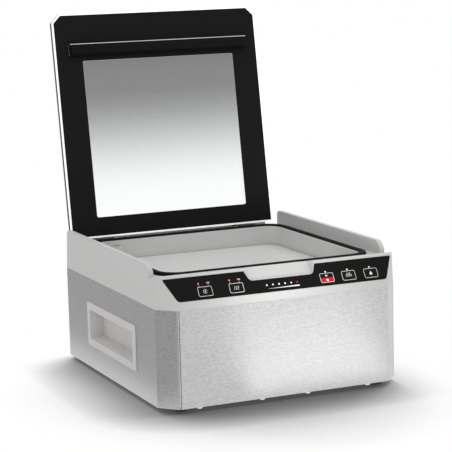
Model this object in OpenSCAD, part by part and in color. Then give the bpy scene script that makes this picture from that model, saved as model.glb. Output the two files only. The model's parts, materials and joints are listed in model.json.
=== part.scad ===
// Chamber vacuum sealer with a hinged glass lid.
// Millimetres, +Z up, front towards -Y. The pieces are drawn about the middle of the cabinet,
// the lid closed and then swung open. At the end placed() moves all of them together, so that
// the origin is the middle of the ground that cabinet and open lid cover, where the feet stand.

/* [Cabinet] */
// Width of the body across its sides
body_w = 360; // [340:1:400]
// Depth of the body from front to back
body_d = 406; // [390:1:440]
// Clear height under the steel cabinet
ground_gap = 7; // [5:0.5:12]
// Height of the steel cabinet
steel_h = 133.5; // [128:0.5:160]
// Corner cut measured across the width
corner_x = 22.6; // [18:0.2:30]
// Corner cut measured along the depth
corner_y = 25; // [18:1:30]
// Thickness of the stainless sheet
sheet_t = 1.2; // [0.8:0.1:1.6]
// Width of the flange folded in along the bottom edge
flange_w = 14; // [12:1:18]
// Width of the upright seam beside the front panel
seam_w = 2.4; // [1.2:0.1:2.8]
// How far the wrap laps behind the front panel
lap_w = 13; // [8:1:18]

/* [Upper housing] */
// Height of the moulded housing from the steel up to its deck
housing_h = 38; // [36:0.5:48]
// Height of the side cheeks above the deck
cheek_h = 18.5; // [17:0.5:24]
// Thickness of a side cheek at its top
cheek_t = 6.5; // [5:0.5:10]
// How far the walls lean in over the height of the housing
draft = 2; // [1:0.25:4]
// Moulded wall thickness
wall_t = 2.6; // [2:0.1:3.2]
// Thickness of the deck
deck_t = 5; // [4.4:0.1:6]
// Upright lip between the steel and the sloping control panel
lip_h = 11.2; // [10:0.1:16]
// Horizontal run of the sloping control panel
panel_run = 19.6; // [16:0.2:24]
// Height of the front crest above the deck
crest_h = 5.5; // [4:0.5:8]
// Deck from the control panel's top edge back to the chamber flange
front_land = 20; // [18:0.5:26]
// Deck beside the chamber flange
side_land = 8; // [5:0.5:12]
// Deck from the chamber flange back to the hinge bay
rear_land = 6.3; // [5:0.1:10]
// Depth of the open bay that holds the hinges
bay_d = 39.5; // [37:0.5:44]
// Setback of the cheeks' rounded front ends behind the panel's top edge
cheek_set = 26.4; // [20:0.2:30]
// Radius of the cheeks' front ends
cheek_r = 16; // [10:1:17]

/* [Finger notch] */
// Width of the notch at the top
notch_w = 104; // [80:1:130]
// Width of the notch at its lower edge
notch_low_w = 93; // [70:1:120]
// Depth of the notch measured down the panel
notch_drop = 13.7; // [9:0.1:15]

/* [Chamber] */
// Depth of the chamber below the deck
chamber_depth = 66.5; // [60:0.5:72]
// Wall of the chamber tub
tub_t = 2.2; // [1.6:0.1:3]
// Outer corner radius of the lid gasket
gasket_r = 35; // [30:1:42]
// Width of the lid gasket
gasket_w = 10.5; // [8:0.5:12]
// Height of the lid gasket above the deck
gasket_h = 4.2; // [3:0.1:5]
// Thickness of one filler plate
filler_t = 20; // [14:0.5:22]
// Diameter of the suction tower
tower_d = 22; // [20:0.5:28]

/* [Seal bar] */
// Distance from the chamber's front wall to the seal line
seal_set = 34.3; // [30:0.1:38]
// Length of the lid's pressure pad
pad_l = 290; // [260:1:292]
// Width of the lid's pressure pad
pad_w = 22; // [18:0.5:26]
// How far the pad stands below the glass
pad_h = 12; // [9:0.5:14]
// Width of the seal bar
bar_w = 14; // [10:0.5:18]
// Height of the seal bar
bar_h = 12; // [8:0.5:14]
// Lift of the seal bar
bar_lift = 5; // [3:0.5:6]
// Bore of the two lift cylinders
lift_bore = 20; // [14:0.5:22]

/* [Lid] */
// Thickness of the tempered glass
glass_t = 10; // [8:0.5:12]
// Polished bevel outside the black border
bevel_w = 3.3; // [2:0.1:4]
// Corner cut at the front of the glass
glass_cut = 13; // [8:0.5:18]
// Width of the clear window
window_w = 248; // [200:1:270]
// Border between the hinge edge and the window
window_rear = 27.5; // [24:0.5:36]
// Length of the clear window from hinge side to pad side
window_l = 238; // [200:1:240]
// Angle between the closed and the fully open lid
lid_open = 99.5; // [92:0.5:105]
// Distance of the hinge axis behind the glass
hinge_back = 6.7; // [6.4:0.1:7.5]
// Distance of the hinge axis below the glass
hinge_drop = 8.8; // [8:0.1:10]
// Diameter of the hinge pins
pin_d = 5; // [4:0.5:6]

/* [Controls] */
// Width of a key
key_w = 21; // [18:0.5:24]
// Height of a key
key_h = 14; // [11:0.5:15]
// Travel of a key
key_travel = 0.6; // [0.4:0.1:0.8]

/* [Side handles] */
// Length of the handle bezel
handle_l = 194; // [160:1:210]
// Height of the handle bezel
handle_h = 65; // [55:1:75]
// Width of the bezel around the hand pocket
bezel_w = 11; // [8:0.5:14]
// Depth of the hand pocket
pocket_depth = 20; // [16:0.5:22]

/* [Feet] */
// Diameter of a foot
foot_d = 22; // [16:1:26]
// Distance of a foot's middle in from the side face
foot_side = 32; // [30:0.5:60]
// Distance of a foot in from the front or back face
foot_in = 22.5; // [20:0.5:40]

/* [Hidden] */
$fn = 48;

eps = 0.01;
fit_gap = 0.3;          // clearance between pieces that are set beside each other
run_gap = 0.05;         // radial clearance of a running fit

// Half sizes and heights that the pieces share
hw = body_w / 2;
hd = body_d / 2;
steel_z = ground_gap + steel_h;
deck_z = steel_z + housing_h;
cheek_z = deck_z + cheek_h;
lip_z = steel_z + lip_h;
crest_z = deck_z + crest_h;
floor_z = deck_z - chamber_depth;
plate_z = ground_gap + sheet_t;              // underside of the base plate
inside_z = plate_z + sheet_t;                // top of the base plate

// Deck layout, from the cheeks inwards
cheek_x = hw - draft - cheek_t;
flange_x = cheek_x - side_land;
flange_y0 = -hd + panel_run + front_land;
bay_y = hd - bay_d;
flange_y1 = bay_y - rear_land;
gasket_in = 1.9;                             // flange left visible outside the gasket
rim_gap = 0.2;                               // gasket to the tub's upstanding rim
rim_h = 1.6;                                 // rim above the deck
tub_inset = fit_gap + gasket_in + gasket_w + rim_gap + tub_t;
flange_r = gasket_r + gasket_in;
tub_x = flange_x - tub_inset;                // inner half width of the chamber
tub_y0 = flange_y0 + tub_inset;
tub_y1 = flange_y1 - tub_inset;
tub_r = flange_r - tub_inset + fit_gap;
flange_t = 2;
tub_floor_t = 2.2;
filler_z = floor_z + 2 * filler_t;

// Sloping control panel
panel_rise = crest_z - lip_z;
panel_a = atan2(panel_rise, panel_run);      // slope from the horizontal
panel_len = norm([panel_run, panel_rise]);
panel_t = 3;
overlay_t = 0.5;
overlay_sink = 0.4;
overlay_low = 0.8;                           // overlay edge above the slope's foot
overlay_high = 34.3;                         // and its top edge
overlay_edge = 1.7;                          // housing left beside the overlay
key_s = 11.9;                                // height of the keys up the slope
key_r = 2.4;
key_gap = 0.25;
key_proud = 0.5;
key_stem = 6.4;
board_n = -12.4;                             // face of the control board below the slope
board_t = 1.6;
board_low = 3.4;                               // its lower edge up the slope
board_w = 24;
board_in = 10;                               // its ends in from the corner cuts
tact_w = 6;
tact_h = 3.5;
lamp_s = 20.8;                               // row of lamps above the keys
progress_s = 11;                             // row of progress lamps
key_names = [-114.5, -69, 66.5, 100, 134.3];
white_dots = [for (i = [2:4]) [key_names[i] - 0.2, lamp_s], for (i = [0:4]) [-24.5 + 9.1 * i, progress_s]];
red_dots = concat([for (x = [-122, -108, -76.7, -63]) [x, lamp_s]], [[21, progress_s]]);
dot_d = 2.2;

// Lid, drawn closed
lid_side = 3.5;                              // glass to the cheeks
glass_z = deck_z + gasket_h + fit_gap;
glass_hw = cheek_x - lid_side;
glass_y0 = -hd + panel_run + 11.4;
glass_y1 = bay_y + 6.1;
land_z = glass_z - 1.4;                      // front land where it meets the gasket
pivot_y = glass_y1 + hinge_back;
pivot_z = glass_z - hinge_drop;
border_t = 0.25;
glass_ease = 1;                              // eased edge on the glass's outer face
seal_y = tub_y0 + seal_set;
arm_x = 118;
arm_w = 30;
arm_t = 2;
leaf_l = 29;                                 // leaf of a hinge arm on the glass
barrel_r = pin_d / 2 + 2;
bay_floor = pivot_z - barrel_r - 3.5;
// Rim behind the bay, which the leaves of the open lid lean on
bay_rim_up = 3.2;
bay_rim_z = pivot_z + bay_rim_up;
bay_rim_t = hd - pivot_y - fit_gap
    - (hinge_drop + glass_t + arm_t - bay_rim_up * cos(lid_open)) / sin(lid_open);
post_t = 6;
post_gap = 0.5;

// Seal bar, drawn lowered
pad_z = glass_z - pad_h;
bar_top = pad_z - fit_gap - 0.2 - bar_lift;
tape_t = 0.25;
strip_t = 0.2;
bar_z = bar_top - tape_t - strip_t;
bar_l = pad_l - 6;
lift_x = 98;
lift_wall = 3;
lift_base = 4;
piston_h = 12;

// Cabinet fittings
lap_in = sheet_t + fit_gap / 2;              // laps behind the panels' outer faces
lap_z = plate_z + sheet_t + fit_gap;
lap_h = steel_h - 2 * sheet_t - 2 * fit_gap;
screw_head_d = 8;
screw_head_h = 3;
screw_d = 4;
screw_play = 0.2;                            // screw hole over the screw
screw_l = 8;
edge_in = 6.5;                               // screw line in from the outside
foot_x = hw - foot_side;
foot_round = 1.2;
foot_seat = 2.5;                             // screw head's seat below the cabinet
handle_y = -7.5;
handle_z = ground_gap + 65.5;
bezel_proud = 1.5;
pocket_wall = 2.5;
inlet_in = 52;
switch_pitch = 44;
fan_in = 116;
inlet_x = inlet_in - hw;
switch_x = inlet_x + switch_pitch;
fan_x = hw - fan_in;
rear_z = ground_gap + 42;

// ---------------------------------------------------------------- helpers

// Shrink of a corner cut when its outline moves in by one unit
function cut_step(a, b) = (a + b - norm([a, b])) / b;

// Outline of the body in plan, moved in by inset
module body_outline(inset = 0) {
    w = hw - inset;
    d = hd - inset;
    cx = corner_x - inset * cut_step(corner_x, corner_y);
    cy = corner_y - inset * cut_step(corner_y, corner_x);
    polygon([[-w + cx, -d], [w - cx, -d], [w, -d + cy], [w, d - cy],
             [w - cx, d], [-w + cx, d], [-w, d - cy], [-w, -d + cy]]);
}

// Rounded rectangle from low corner to high corner
module rounded_rect(x0, y0, x1, y1, r) {
    translate([x0 + r, y0]) square([x1 - x0 - 2 * r, y1 - y0]);
    translate([x0, y0 + r]) square([x1 - x0, y1 - y0 - 2 * r]);
    for (x = [x0 + r, x1 - r], y = [y0 + r, y1 - r]) translate([x, y]) circle(r);
}

// Rounded rectangle about the origin
module pill(w, h, r) { rounded_rect(-w / 2, -h / 2, w / 2, h / 2, r); }

// Chamber outline, moved out by grow
module chamber_outline(grow = 0) {
    rounded_rect(-tub_x - grow, tub_y0 - grow, tub_x + grow, tub_y1 + grow, tub_r + grow);
}

// Profile in Y and Z, drawn out along X about the middle
module along_x(w) { rotate([90, 0, 90]) linear_extrude(w, center = true) children(); }

// Outline in X and Z, standing on the plane y = 0 and running to +Y
module along_y(d) { mirror([0, 1, 0]) rotate([90, 0, 0]) linear_extrude(d) children(); }

// Drawing plane of the control panel: X across, Y up the slope, Z out of it
module on_panel() { translate([0, -hd, lip_z]) rotate([panel_a, 0, 0]) children(); }

// Swings what is drawn on the closed lid to the open position
module lid_swing() {
    translate([0, pivot_y, pivot_z]) rotate([-lid_open, 0, 0]) translate([0, -pivot_y, -pivot_z])
        children();
}

// Arc that rounds the corner b between a and c
function unit(v) = v / norm(v);
function round_corner(a, b, c, r, n = 8) =
    let (u = unit(a - b), v = unit(c - b), half = acos(u * v) / 2,
         m = b + unit(u + v) * r / sin(half),
         p = b + u * r / tan(half) - m, q = b + v * r / tan(half) - m,
         a0 = atan2(p.y, p.x), turn = atan2(p.x * q.y - p.y * q.x, p * q))
    [for (i = [0:n]) m + r * [cos(a0 + turn * i / n), sin(a0 + turn * i / n)]];

// Outline whose points are [x, y] or, where rounded, [x, y, r]
function rounded(pts) = let (n = len(pts)) [for (i = [0:n - 1])
    let (b = [pts[i][0], pts[i][1]])
    each is_undef(pts[i][2]) ? [b]
        : round_corner([for (k = [0:1]) pts[(i + n - 1) % n][k]], b,
                       [for (k = [0:1]) pts[(i + 1) % n][k]], pts[i][2])];

module screw(head_d = screw_head_d, head_h = screw_head_h, shank = screw_l) {
    rotate_extrude() polygon(rounded([[0, -head_h], [head_d / 2, -head_h, head_h * 0.6],
        [head_d / 2, 0], [screw_d / 2, 0], [screw_d / 2, shank], [0, shank]]));
}

// Places of the screws along the bottom flange
base_screw_at = concat(
    [for (x = [-127, -34.5, 34.5, 127], s = [-1, 1]) [x, s * (hd - edge_in)]],
    [for (s = [-1, 1], y = [-120, 0, 120]) [s * (hw - edge_in), y]]);
foot_at = [for (x = [-foot_x, foot_x], s = [-1, 1]) [x, s * (hd - foot_in)]];

// ---------------------------------------------------------------- cabinet

module vent_rows(n, pitch, slot_h, slot_w) {
    for (i = [0:n - 1]) translate([(i - (n - 1) / 2) * pitch, 0])
        pill(slot_w, slot_h, slot_w / 2 - eps);
}

// Side sheet with its corner strips, the laps behind the front and back panels and the
// flange along its foot. With no front strip it stops where the front panel has wrapped the corner
module side_sheet(front_strip) {
    edge = hw - corner_x;
    color("silver") difference() {
        union() {
            translate([0, 0, ground_gap]) linear_extrude(steel_h) difference() {
                body_outline();
                body_outline(sheet_t);
                translate([-hw, -hd]) square([hw + edge, body_d]);
            }
            for (y = concat(front_strip ? [-hd + lap_in] : [], [hd - lap_in - sheet_t]))
                translate([edge - lap_w, y, lap_z]) cube([lap_w + 1.5 * sheet_t, sheet_t, lap_h]);
            translate([0, 0, ground_gap]) linear_extrude(sheet_t) difference() {
                body_outline(sheet_t / 2);
                body_outline(flange_w);
                translate([-hw, -hd]) square([hw + edge, body_d]);
            }
        }
        if (!front_strip) translate([0, -hd - 1, 0]) cube([hw + 1, 1 + corner_y + seam_w, steel_z + 1]);
        translate([hw, handle_y, handle_z]) rotate([90, 0, 90]) linear_extrude(8, center = true)
            pill(handle_l - 2 * bezel_w + 2 * pocket_wall + fit_gap,
                 handle_h - 2 * bezel_w + 2 * pocket_wall + fit_gap, 3.9);
        base_screw_holes();
    }
}

module side_right() { side_sheet(false); }

module side_left() { mirror([1, 0, 0]) side_sheet(true); }

// Flat panel between the corner strips, with a flange along its foot
module end_panel() {
    w = 2 * (hw - corner_x - seam_w);
    difference() {
        union() {
            translate([-w / 2, -hd, ground_gap]) cube([w, sheet_t, steel_h]);
            translate([-w / 2, -hd, ground_gap]) cube([w, flange_w, sheet_t]);
        }
        base_screw_holes();
    }
}

module base_screw_holes() {
    for (p = base_screw_at) translate([p.x, p.y, ground_gap - 1]) cylinder(h = 4, d = screw_d + screw_play);
}

// Front panel, which wraps the right corner in one piece with a lap behind the side sheet
module front_panel() {
    start = hw - corner_x - seam_w - eps;
    color("gainsboro") difference() {
        union() {
            end_panel();
            translate([0, 0, ground_gap]) {
                linear_extrude(steel_h) intersection() {
                    difference() {
                        body_outline();
                        body_outline(sheet_t);
                    }
                    translate([start, -hd]) square([hw - start, corner_y]);
                }
                linear_extrude(sheet_t) intersection() {
                    difference() {
                        body_outline(sheet_t / 2);
                        body_outline(flange_w);
                    }
                    translate([start, -hd]) square([hw - start, corner_y]);
                }
            }
            translate([hw - lap_in - sheet_t, -hd + corner_y - 1.5 * sheet_t, lap_z])
                cube([sheet_t, lap_w + 1.5 * sheet_t, lap_h]);
        }
        base_screw_holes();
    }
}

module back_panel() {
    color("gainsboro") difference() {
        rotate([0, 0, 180]) end_panel();
        translate([0, hd - 4, 0]) {
            for (p = back_screw_at) translate([p.x, 0, p.y]) along_y(8) circle(d = screw_d + screw_play);
            translate([fan_x, 0, fan_z]) along_y(8) vent_rows(7, 6.5, fan_s - 16, 3.2);
            translate([inlet_x, 0, rear_z]) along_y(8)
                square([inlet_w + fit_gap, inlet_h + fit_gap], center = true);
            translate([switch_x, 0, rear_z]) along_y(8)
                square([switch_w + fit_gap, switch_h + fit_gap], center = true);
        }
    }
}

module base_plate() {
    color("darkgray") translate([0, 0, plate_z]) difference() {
        linear_extrude(sheet_t) difference() {
            body_outline(2 * (sheet_t + fit_gap));
            for (p = base_screw_at) translate(p) circle(d = screw_d + screw_play);
            for (p = foot_at) translate(p) circle(d = screw_d + screw_play);
            for (x = [-70, 70]) translate([x, 30]) vent_rows(9, 8, 60, 4);
        }
    }
}

module base_screws() {
    color("gainsboro") for (p = base_screw_at) translate([p.x, p.y, ground_gap]) screw();
}

module feet() {
    color("dimgray") for (p = foot_at) translate([p.x, p.y, 0]) difference() {
        rotate_extrude() polygon(rounded([[0, 0], [foot_d / 2 - foot_round, 0, foot_round], [foot_d / 2, ground_gap],
            [screw_head_d / 2 + sheet_t, ground_gap], [screw_head_d / 2 + sheet_t, plate_z], [0, plate_z]]));
        translate([0, 0, -1]) cylinder(h = plate_z + 2, d = screw_d + screw_play);
        translate([0, 0, -1]) cylinder(h = 1 + ground_gap - foot_seat, d = screw_head_d + 1);
    }
}

module foot_screws() {
    color("gainsboro") for (p = foot_at) translate([p.x, p.y, ground_gap - foot_seat])
        screw(head_h = 0.8 * screw_head_h);
}

module back_screws() {
    color("gainsboro") for (p = back_screw_at) translate([p.x, hd, p.y])
        rotate([90, 0, 0]) screw(head_h = 0.8 * screw_head_h);
}

// ---------------------------------------------------------------- handles

module handle_right() {
    face_x = hw + bezel_proud;
    open_l = handle_l - 2 * bezel_w;
    open_h = handle_h - 2 * bezel_w;
    color("lightgray") translate([0, handle_y, handle_z]) rotate([90, 0, 90]) difference() {
        union() {
            // bezel with a sloping edge on the steel
            hull() {
                translate([0, 0, hw]) linear_extrude(0.4) pill(handle_l, handle_h, 1.6, $fn = 24);
                translate([0, 0, hw]) linear_extrude(bezel_proud) pill(handle_l - 2, handle_h - 2, 1, $fn = 24);
            }
            translate([0, 0, hw - pocket_depth + bezel_proud - pocket_wall])
                linear_extrude(pocket_depth + pocket_wall - bezel_proud + eps)
                    pill(open_l + 2 * pocket_wall, open_h + 2 * pocket_wall, 3.8);
        }
        // hand pocket, drawn in a little towards its floor
        hull() {
            translate([0, 0, face_x]) linear_extrude(1) pill(open_l, open_h, 1.6, $fn = 24);
            translate([0, 0, face_x - pocket_depth]) linear_extrude(1)
                pill(open_l - 8, open_h - 8, 1.6, $fn = 24);
        }
    }
}

module handle_left() { mirror([1, 0, 0]) handle_right(); }

// ---------------------------------------------------------------- upper housing

module housing_profile() {
    polygon(rounded([[-hd, steel_z], [-hd, lip_z, 1.5], [-hd + panel_run, crest_z, 2.5],
        [-hd + panel_run + 5, crest_z, 2.5], [flange_y0, land_z], [flange_y0, deck_z],
        [bay_y, deck_z, 1.2], [bay_y, bay_floor], [hd - bay_rim_t, bay_floor],
        [hd - bay_rim_t, bay_rim_z], [hd, bay_rim_z, 2.5], [hd, steel_z]]));
}

module cheek_profile() {
    front = -hd + panel_run + cheek_set;
    polygon(rounded([[front, steel_z], [front, deck_z], [front + 3, cheek_z, cheek_r],
        [hd - 25, cheek_z, 7], [hd - 24, steel_z]]));
}

// Drafted block that the housing is cut from
module drafted_block(inset) {
    hull() {
        translate([0, 0, steel_z]) linear_extrude(eps) body_outline(inset);
        translate([0, 0, cheek_z]) linear_extrude(1) body_outline(inset + draft);
    }
}

// Hollow under the deck and behind the control panel
module housing_hollow() {
    intersection() {
        translate([0, 0, -eps]) drafted_block(wall_t);
        along_x(body_w) polygon([[-hd + wall_t, steel_z - 1], [-hd + wall_t, lip_z - 1],
            [-hd + panel_run + wall_t + 1.5, deck_z - deck_t],
            [bay_y - wall_t, deck_z - deck_t], [bay_y - wall_t, bay_floor - wall_t],
            [hd - wall_t, bay_floor - wall_t], [hd - wall_t, steel_z - 1]]);
        cube([2 * (hw - draft - wall_t), body_d, 3 * cheek_z], center = true);
    }
}

// Foot of the scoop in the slope, in y and z
function scoop_lip() = let (low = overlay_high - notch_drop) [-hd + low * cos(panel_a), lip_z + low * sin(panel_a)];

// Solid kept behind and under the scoop, so that its wall stays whole
module scoop_backing() {
    lip = scoop_lip();
    along_x(notch_w + 2 * wall_t) polygon([[-hd, lip.y - wall_t], [lip.x + 10, lip.y + 0.6 - wall_t],
        [flange_y0 - 4, land_z - 3 - wall_t], [flange_y0 + 1, land_z - 3 - wall_t],
        [flange_y0 + 1, cheek_z], [-hd, cheek_z]]);
}

// Scoop in the middle of the front edge, where fingers reach under the glass
module finger_notch() {
    low = overlay_high - notch_drop;
    lip = scoop_lip();
    intersection() {
        on_panel() translate([0, 0, -30]) linear_extrude(45)
            polygon(rounded([[-notch_w / 2, 60], [-notch_w / 2, overlay_high], [-notch_low_w / 2, low - 0.5, 7],
                [notch_low_w / 2, low - 0.5, 7], [notch_w / 2, overlay_high], [notch_w / 2, 60]]));
        along_x(body_w) polygon(rounded([[-hd - 9, lip.y], [lip.x + 1, lip.y], [lip.x + 9, lip.y + 1, 9],
            [flange_y0 - 5, land_z - 3, 9], [flange_y0 - 1, land_z], [flange_y0 - 1, cheek_z],
            [-hd - 9, cheek_z]]));
    }
}

module overlay_outline(grow = 0) {
    half_low = hw - corner_x - overlay_edge;
    slope = corner_x / corner_y * panel_run / panel_len;
    half_high = half_low + (overlay_high - overlay_low) * slope;
    notch_low = overlay_high - notch_drop;
    lean = (notch_w - notch_low_w) / 2 / notch_drop;
    difference() {
        polygon(rounded([[-half_low - grow, overlay_low - grow, 6], [half_low + grow, overlay_low - grow, 6],
            [half_high + grow, overlay_high + grow, 1.5], [-half_high - grow, overlay_high + grow, 1.5]]));
        polygon(rounded([[-notch_low_w / 2 - 1 + grow, notch_low - 1 + grow, 7.5],
            [notch_low_w / 2 + 1 - grow, notch_low - 1 + grow, 7.5],
            [notch_w / 2 + 1 + 4 * lean, overlay_high + 4], [-notch_w / 2 - 1 - 4 * lean, overlay_high + 4]]));
    }
}

// Hinge posts that rise from the bay floor and carry the pins
module hinge_posts() {
    for (s = [-1, 1], k = [-1, 1])
        translate([s * arm_x + k * (arm_w / 2 + post_gap + post_t / 2), 0, 0]) along_x(post_t) {
            translate([pivot_y, pivot_z]) circle(barrel_r);
            translate([pivot_y - barrel_r, bay_floor - 1]) square([2 * barrel_r, pivot_z - bay_floor + 1]);
        }
}

module upper_housing() {
    key_open = key_gap + 0.1;
    color("lightgray") difference() {
        union() {
            difference() {
                intersection() {
                    drafted_block(0);
                    union() {
                        along_x(body_w + 2) housing_profile();
                        for (s = [-1, 1]) translate([s * (cheek_x + 10), 0, 0]) along_x(20) cheek_profile();
                    }
                }
                difference() {
                    housing_hollow();
                    scoop_backing();
                }
                finger_notch();
            }
            hinge_posts();
            // seat on the steel and skirt inside it
            translate([0, 0, steel_z]) linear_extrude(3) difference() {
                body_outline(0.2);
                body_outline(6);
            }
            translate([0, 0, steel_z - 12]) linear_extrude(13) difference() {
                body_outline(3.6);
                body_outline(6);
            }
        }
        // opening for the chamber and seat for its flange
        translate([0, 0, steel_z - 20]) linear_extrude(100) chamber_outline(tub_t + fit_gap);
        translate([0, 0, deck_z - flange_t]) linear_extrude(crest_h + 4) chamber_outline(tub_inset);
        // hinge pins
        translate([0, pivot_y, pivot_z]) rotate([0, 90, 0]) cylinder(h = 2 * (arm_x + 40), d = pin_d + 2 * run_gap, center = true);
        // control panel: overlay seat, key windows and lamp holes
        on_panel() {
            translate([0, 0, -overlay_sink]) linear_extrude(3) overlay_outline(fit_gap);
            for (x = key_names) translate([x, key_s, -6]) linear_extrude(8)
                pill(key_w + 2 * key_open, key_h + 2 * key_open, key_r + key_open);
            for (p = concat(white_dots, red_dots)) translate([p.x, p.y, -8]) cylinder(h = 10, d = dot_d + 0.2);
        }
        for (p = skirt_screw_at) translate([p.x, hd - screw_l - 1, p.y])
            along_y(screw_l + 1) circle(d = screw_d + 2 * run_gap);
    }
}

// ---------------------------------------------------------------- controls

module control_overlay() {
    color([0.1, 0.1, 0.1]) on_panel() translate([0, 0, -overlay_sink]) linear_extrude(overlay_t) difference() {
        overlay_outline();
        for (x = key_names) translate([x, key_s])
            pill(key_w + 2 * key_gap, key_h + 2 * key_gap, key_r + key_gap);
        for (p = concat(white_dots, red_dots)) translate(p) circle(d = dot_d);
    }
}

module key_at(x) {
    on_panel() translate([x, key_s, 0]) {
        translate([0, 0, -2]) linear_extrude(2 + key_proud) pill(key_w, key_h, key_r);
        translate([0, 0, -key_stem]) cylinder(h = key_stem - 1, d = 5);
    }
}

module key_vacuum() { color([0.12, 0.12, 0.12]) key_at(key_names[0]); }
module key_sealing() { color([0.12, 0.12, 0.12]) key_at(key_names[1]); }
module key_start() { color([0.75, 0.1, 0.15]) key_at(key_names[2]); }
module key_seal() { color([0.12, 0.12, 0.12]) key_at(key_names[3]); }
module key_marinate() { color([0.12, 0.12, 0.12]) key_at(key_names[4]); }

module lens_at(places) {
    on_panel() for (p = places) translate([p.x, p.y, board_n]) cylinder(h = -board_n + 0.2, d = dot_d - 0.02);
}

module white_lenses() { color("white") lens_at(white_dots); }
module red_lenses() { color([0.85, 0.1, 0.2]) lens_at(red_dots); }

module control_board() {
    half = hw - corner_x - board_in;
    color("darkgreen") on_panel() translate([-half, board_low, board_n - board_t])
        cube([2 * half, board_w, board_t]);
}

module tact_switches() {
    top = -key_stem - key_travel - 0.1;
    color("gray") on_panel() for (x = key_names) translate([x, key_s, board_n]) {
        translate([-tact_w / 2, -tact_w / 2, 0]) cube([tact_w, tact_w, tact_h]);
        cylinder(h = top - board_n, d = tact_h);
    }
}

// ---------------------------------------------------------------- chamber

module chamber_tub() {
    color("gainsboro") difference() {
        union() {
            translate([0, 0, floor_z - tub_floor_t])
                linear_extrude(chamber_depth + tub_floor_t + rim_h) chamber_outline(tub_t);
            translate([0, 0, deck_z - flange_t]) linear_extrude(flange_t)
                chamber_outline(tub_inset - fit_gap);
        }
        translate([0, 0, floor_z]) linear_extrude(chamber_depth + 20) chamber_outline();
        translate([tower_at.x, tower_at.y, floor_z - 5]) cylinder(h = 10, d = 12);
    }
}

// Gasket profile: flat foot and a rounded back
module gasket_profile() {
    polygon(rounded([[0, 0], [gasket_w, 0], [gasket_w, gasket_h, 3.2], [0, gasket_h, 3.2]]));
}

module lid_gasket() {
    inner = tub_t + rim_gap;
    r = tub_r + inner;
    lx = 2 * (tub_x + inner - r);
    ly = tub_y1 - tub_y0 + 2 * (inner - r);
    mid_y = (tub_y0 + tub_y1) / 2;
    color([0.13, 0.13, 0.13]) translate([0, mid_y, deck_z]) {
        for (s = [-1, 1]) {
            translate([0, s * (ly / 2 + r), 0]) mirror([0, s < 0 ? 1 : 0, 0])
                rotate([90, 0, 90]) linear_extrude(lx, center = true) gasket_profile();
            translate([s * (lx / 2 + r), 0, 0]) mirror([s < 0 ? 1 : 0, 0, 0])
                rotate([90, 0, 0]) linear_extrude(ly, center = true) gasket_profile();
        }
        for (i = [0:3]) {
            sx = i == 0 || i == 3 ? 1 : -1;
            sy = i < 2 ? 1 : -1;
            translate([sx * lx / 2, sy * ly / 2, 0]) rotate([0, 0, 90 * i])
                rotate_extrude(angle = 90) translate([r, 0]) gasket_profile();
        }
    }
}

tower_at = [-tub_x + 26.4, tub_y1 - 19];
tower_top = deck_z - 2;
tower_bore = tower_d - 5;
tower_tail = 12;                             // spigot below the chamber floor

module suction_tower() {
    color("silver") translate([tower_at.x, tower_at.y, 0]) difference() {
        union() {
            translate([0, 0, floor_z]) cylinder(h = tower_top - floor_z, d = tower_d);
            translate([0, 0, floor_z - tower_tail]) cylinder(h = tower_tail + 1, d = 11.8);
        }
        translate([0, 0, floor_z - tower_tail - 1]) cylinder(h = 100, d = 7);
        translate([0, 0, tower_top - 6]) cylinder(h = 10, d = tower_bore);
    }
}

module tower_strainer() {
    color("dimgray") translate([tower_at.x, tower_at.y, tower_top - 6]) difference() {
        cylinder(h = 2.5, d = tower_bore - 0.2);
        for (i = [0:5]) rotate([0, 0, 60 * i]) translate([5.5, 0, -1]) cylinder(h = 5, d = 2.2);
        translate([0, 0, -1]) cylinder(h = 5, d = 2.2);
    }
}

module filler_plate(low) {
    side = 1.5;
    clear = 2.5;
    front = seal_y + bar_w / 2 + 12;
    translate([0, 0, low]) linear_extrude(filler_t) difference() {
        rounded_rect(-tub_x + side, front, tub_x - side, tub_y1 - side, tub_r);
        // corner left open round the suction tower
        translate(tower_at) circle(d = tower_d + 2 * clear);
        translate([-tub_x, tower_at.y - tower_d / 2 - clear])
            square([tub_x + tower_at.x, tower_d / 2 + clear + tub_y1 - tower_at.y]);
        translate([tower_at.x - 1, tower_at.y]) square([tower_d / 2 + clear + 1, tub_y1 - tower_at.y]);
    }
}

module filler_plate_lower() { color("whitesmoke") filler_plate(floor_z); }
module filler_plate_upper() { color("whitesmoke") filler_plate(floor_z + filler_t); }

// ---------------------------------------------------------------- seal bar

module seal_bar() {
    color("dimgray") translate([0, seal_y, bar_z - bar_h]) difference() {
        translate([-bar_l / 2, -bar_w / 2, 0]) cube([bar_l, bar_w, bar_h]);
        // groove for the seal tape's edges
        for (s = [-1, 1]) translate([-bar_l / 2 - 1, s * bar_w / 2 - 1, bar_h - 6]) cube([bar_l + 2, 2, 1.5]);
    }
}

module heating_strip() {
    color("goldenrod") translate([-bar_l / 2 + 4, seal_y - 2, bar_z]) cube([bar_l - 8, 4, strip_t]);
}

module seal_tape() {
    color("peru") translate([0, seal_y, 0]) difference() {
        translate([-bar_l / 2 + 2, -bar_w / 2 - tape_t, bar_z - 4.5])
            cube([bar_l - 4, bar_w + 2 * tape_t, 4.5 + strip_t + tape_t]);
        translate([-bar_l / 2, -bar_w / 2, bar_z - 5]) cube([bar_l, bar_w, 5]);
        translate([-bar_l / 2 + 4, -2, bar_z - 1]) cube([bar_l - 8, 4, 1 + strip_t]);
    }
}

piston_low = floor_z + lift_base + 1;

module lift_cylinders() {
    top = piston_low + piston_h + bar_lift + 2;
    color("gray") for (s = [-1, 1]) translate([s * lift_x, seal_y, floor_z]) difference() {
        union() {
            cylinder(h = top - floor_z, d = lift_bore + 2 * lift_wall);
            cylinder(h = 2.5, d = lift_bore + 2 * lift_wall + 4);
        }
        translate([0, 0, lift_base]) cylinder(h = 100, d = lift_bore);
    }
}

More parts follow.
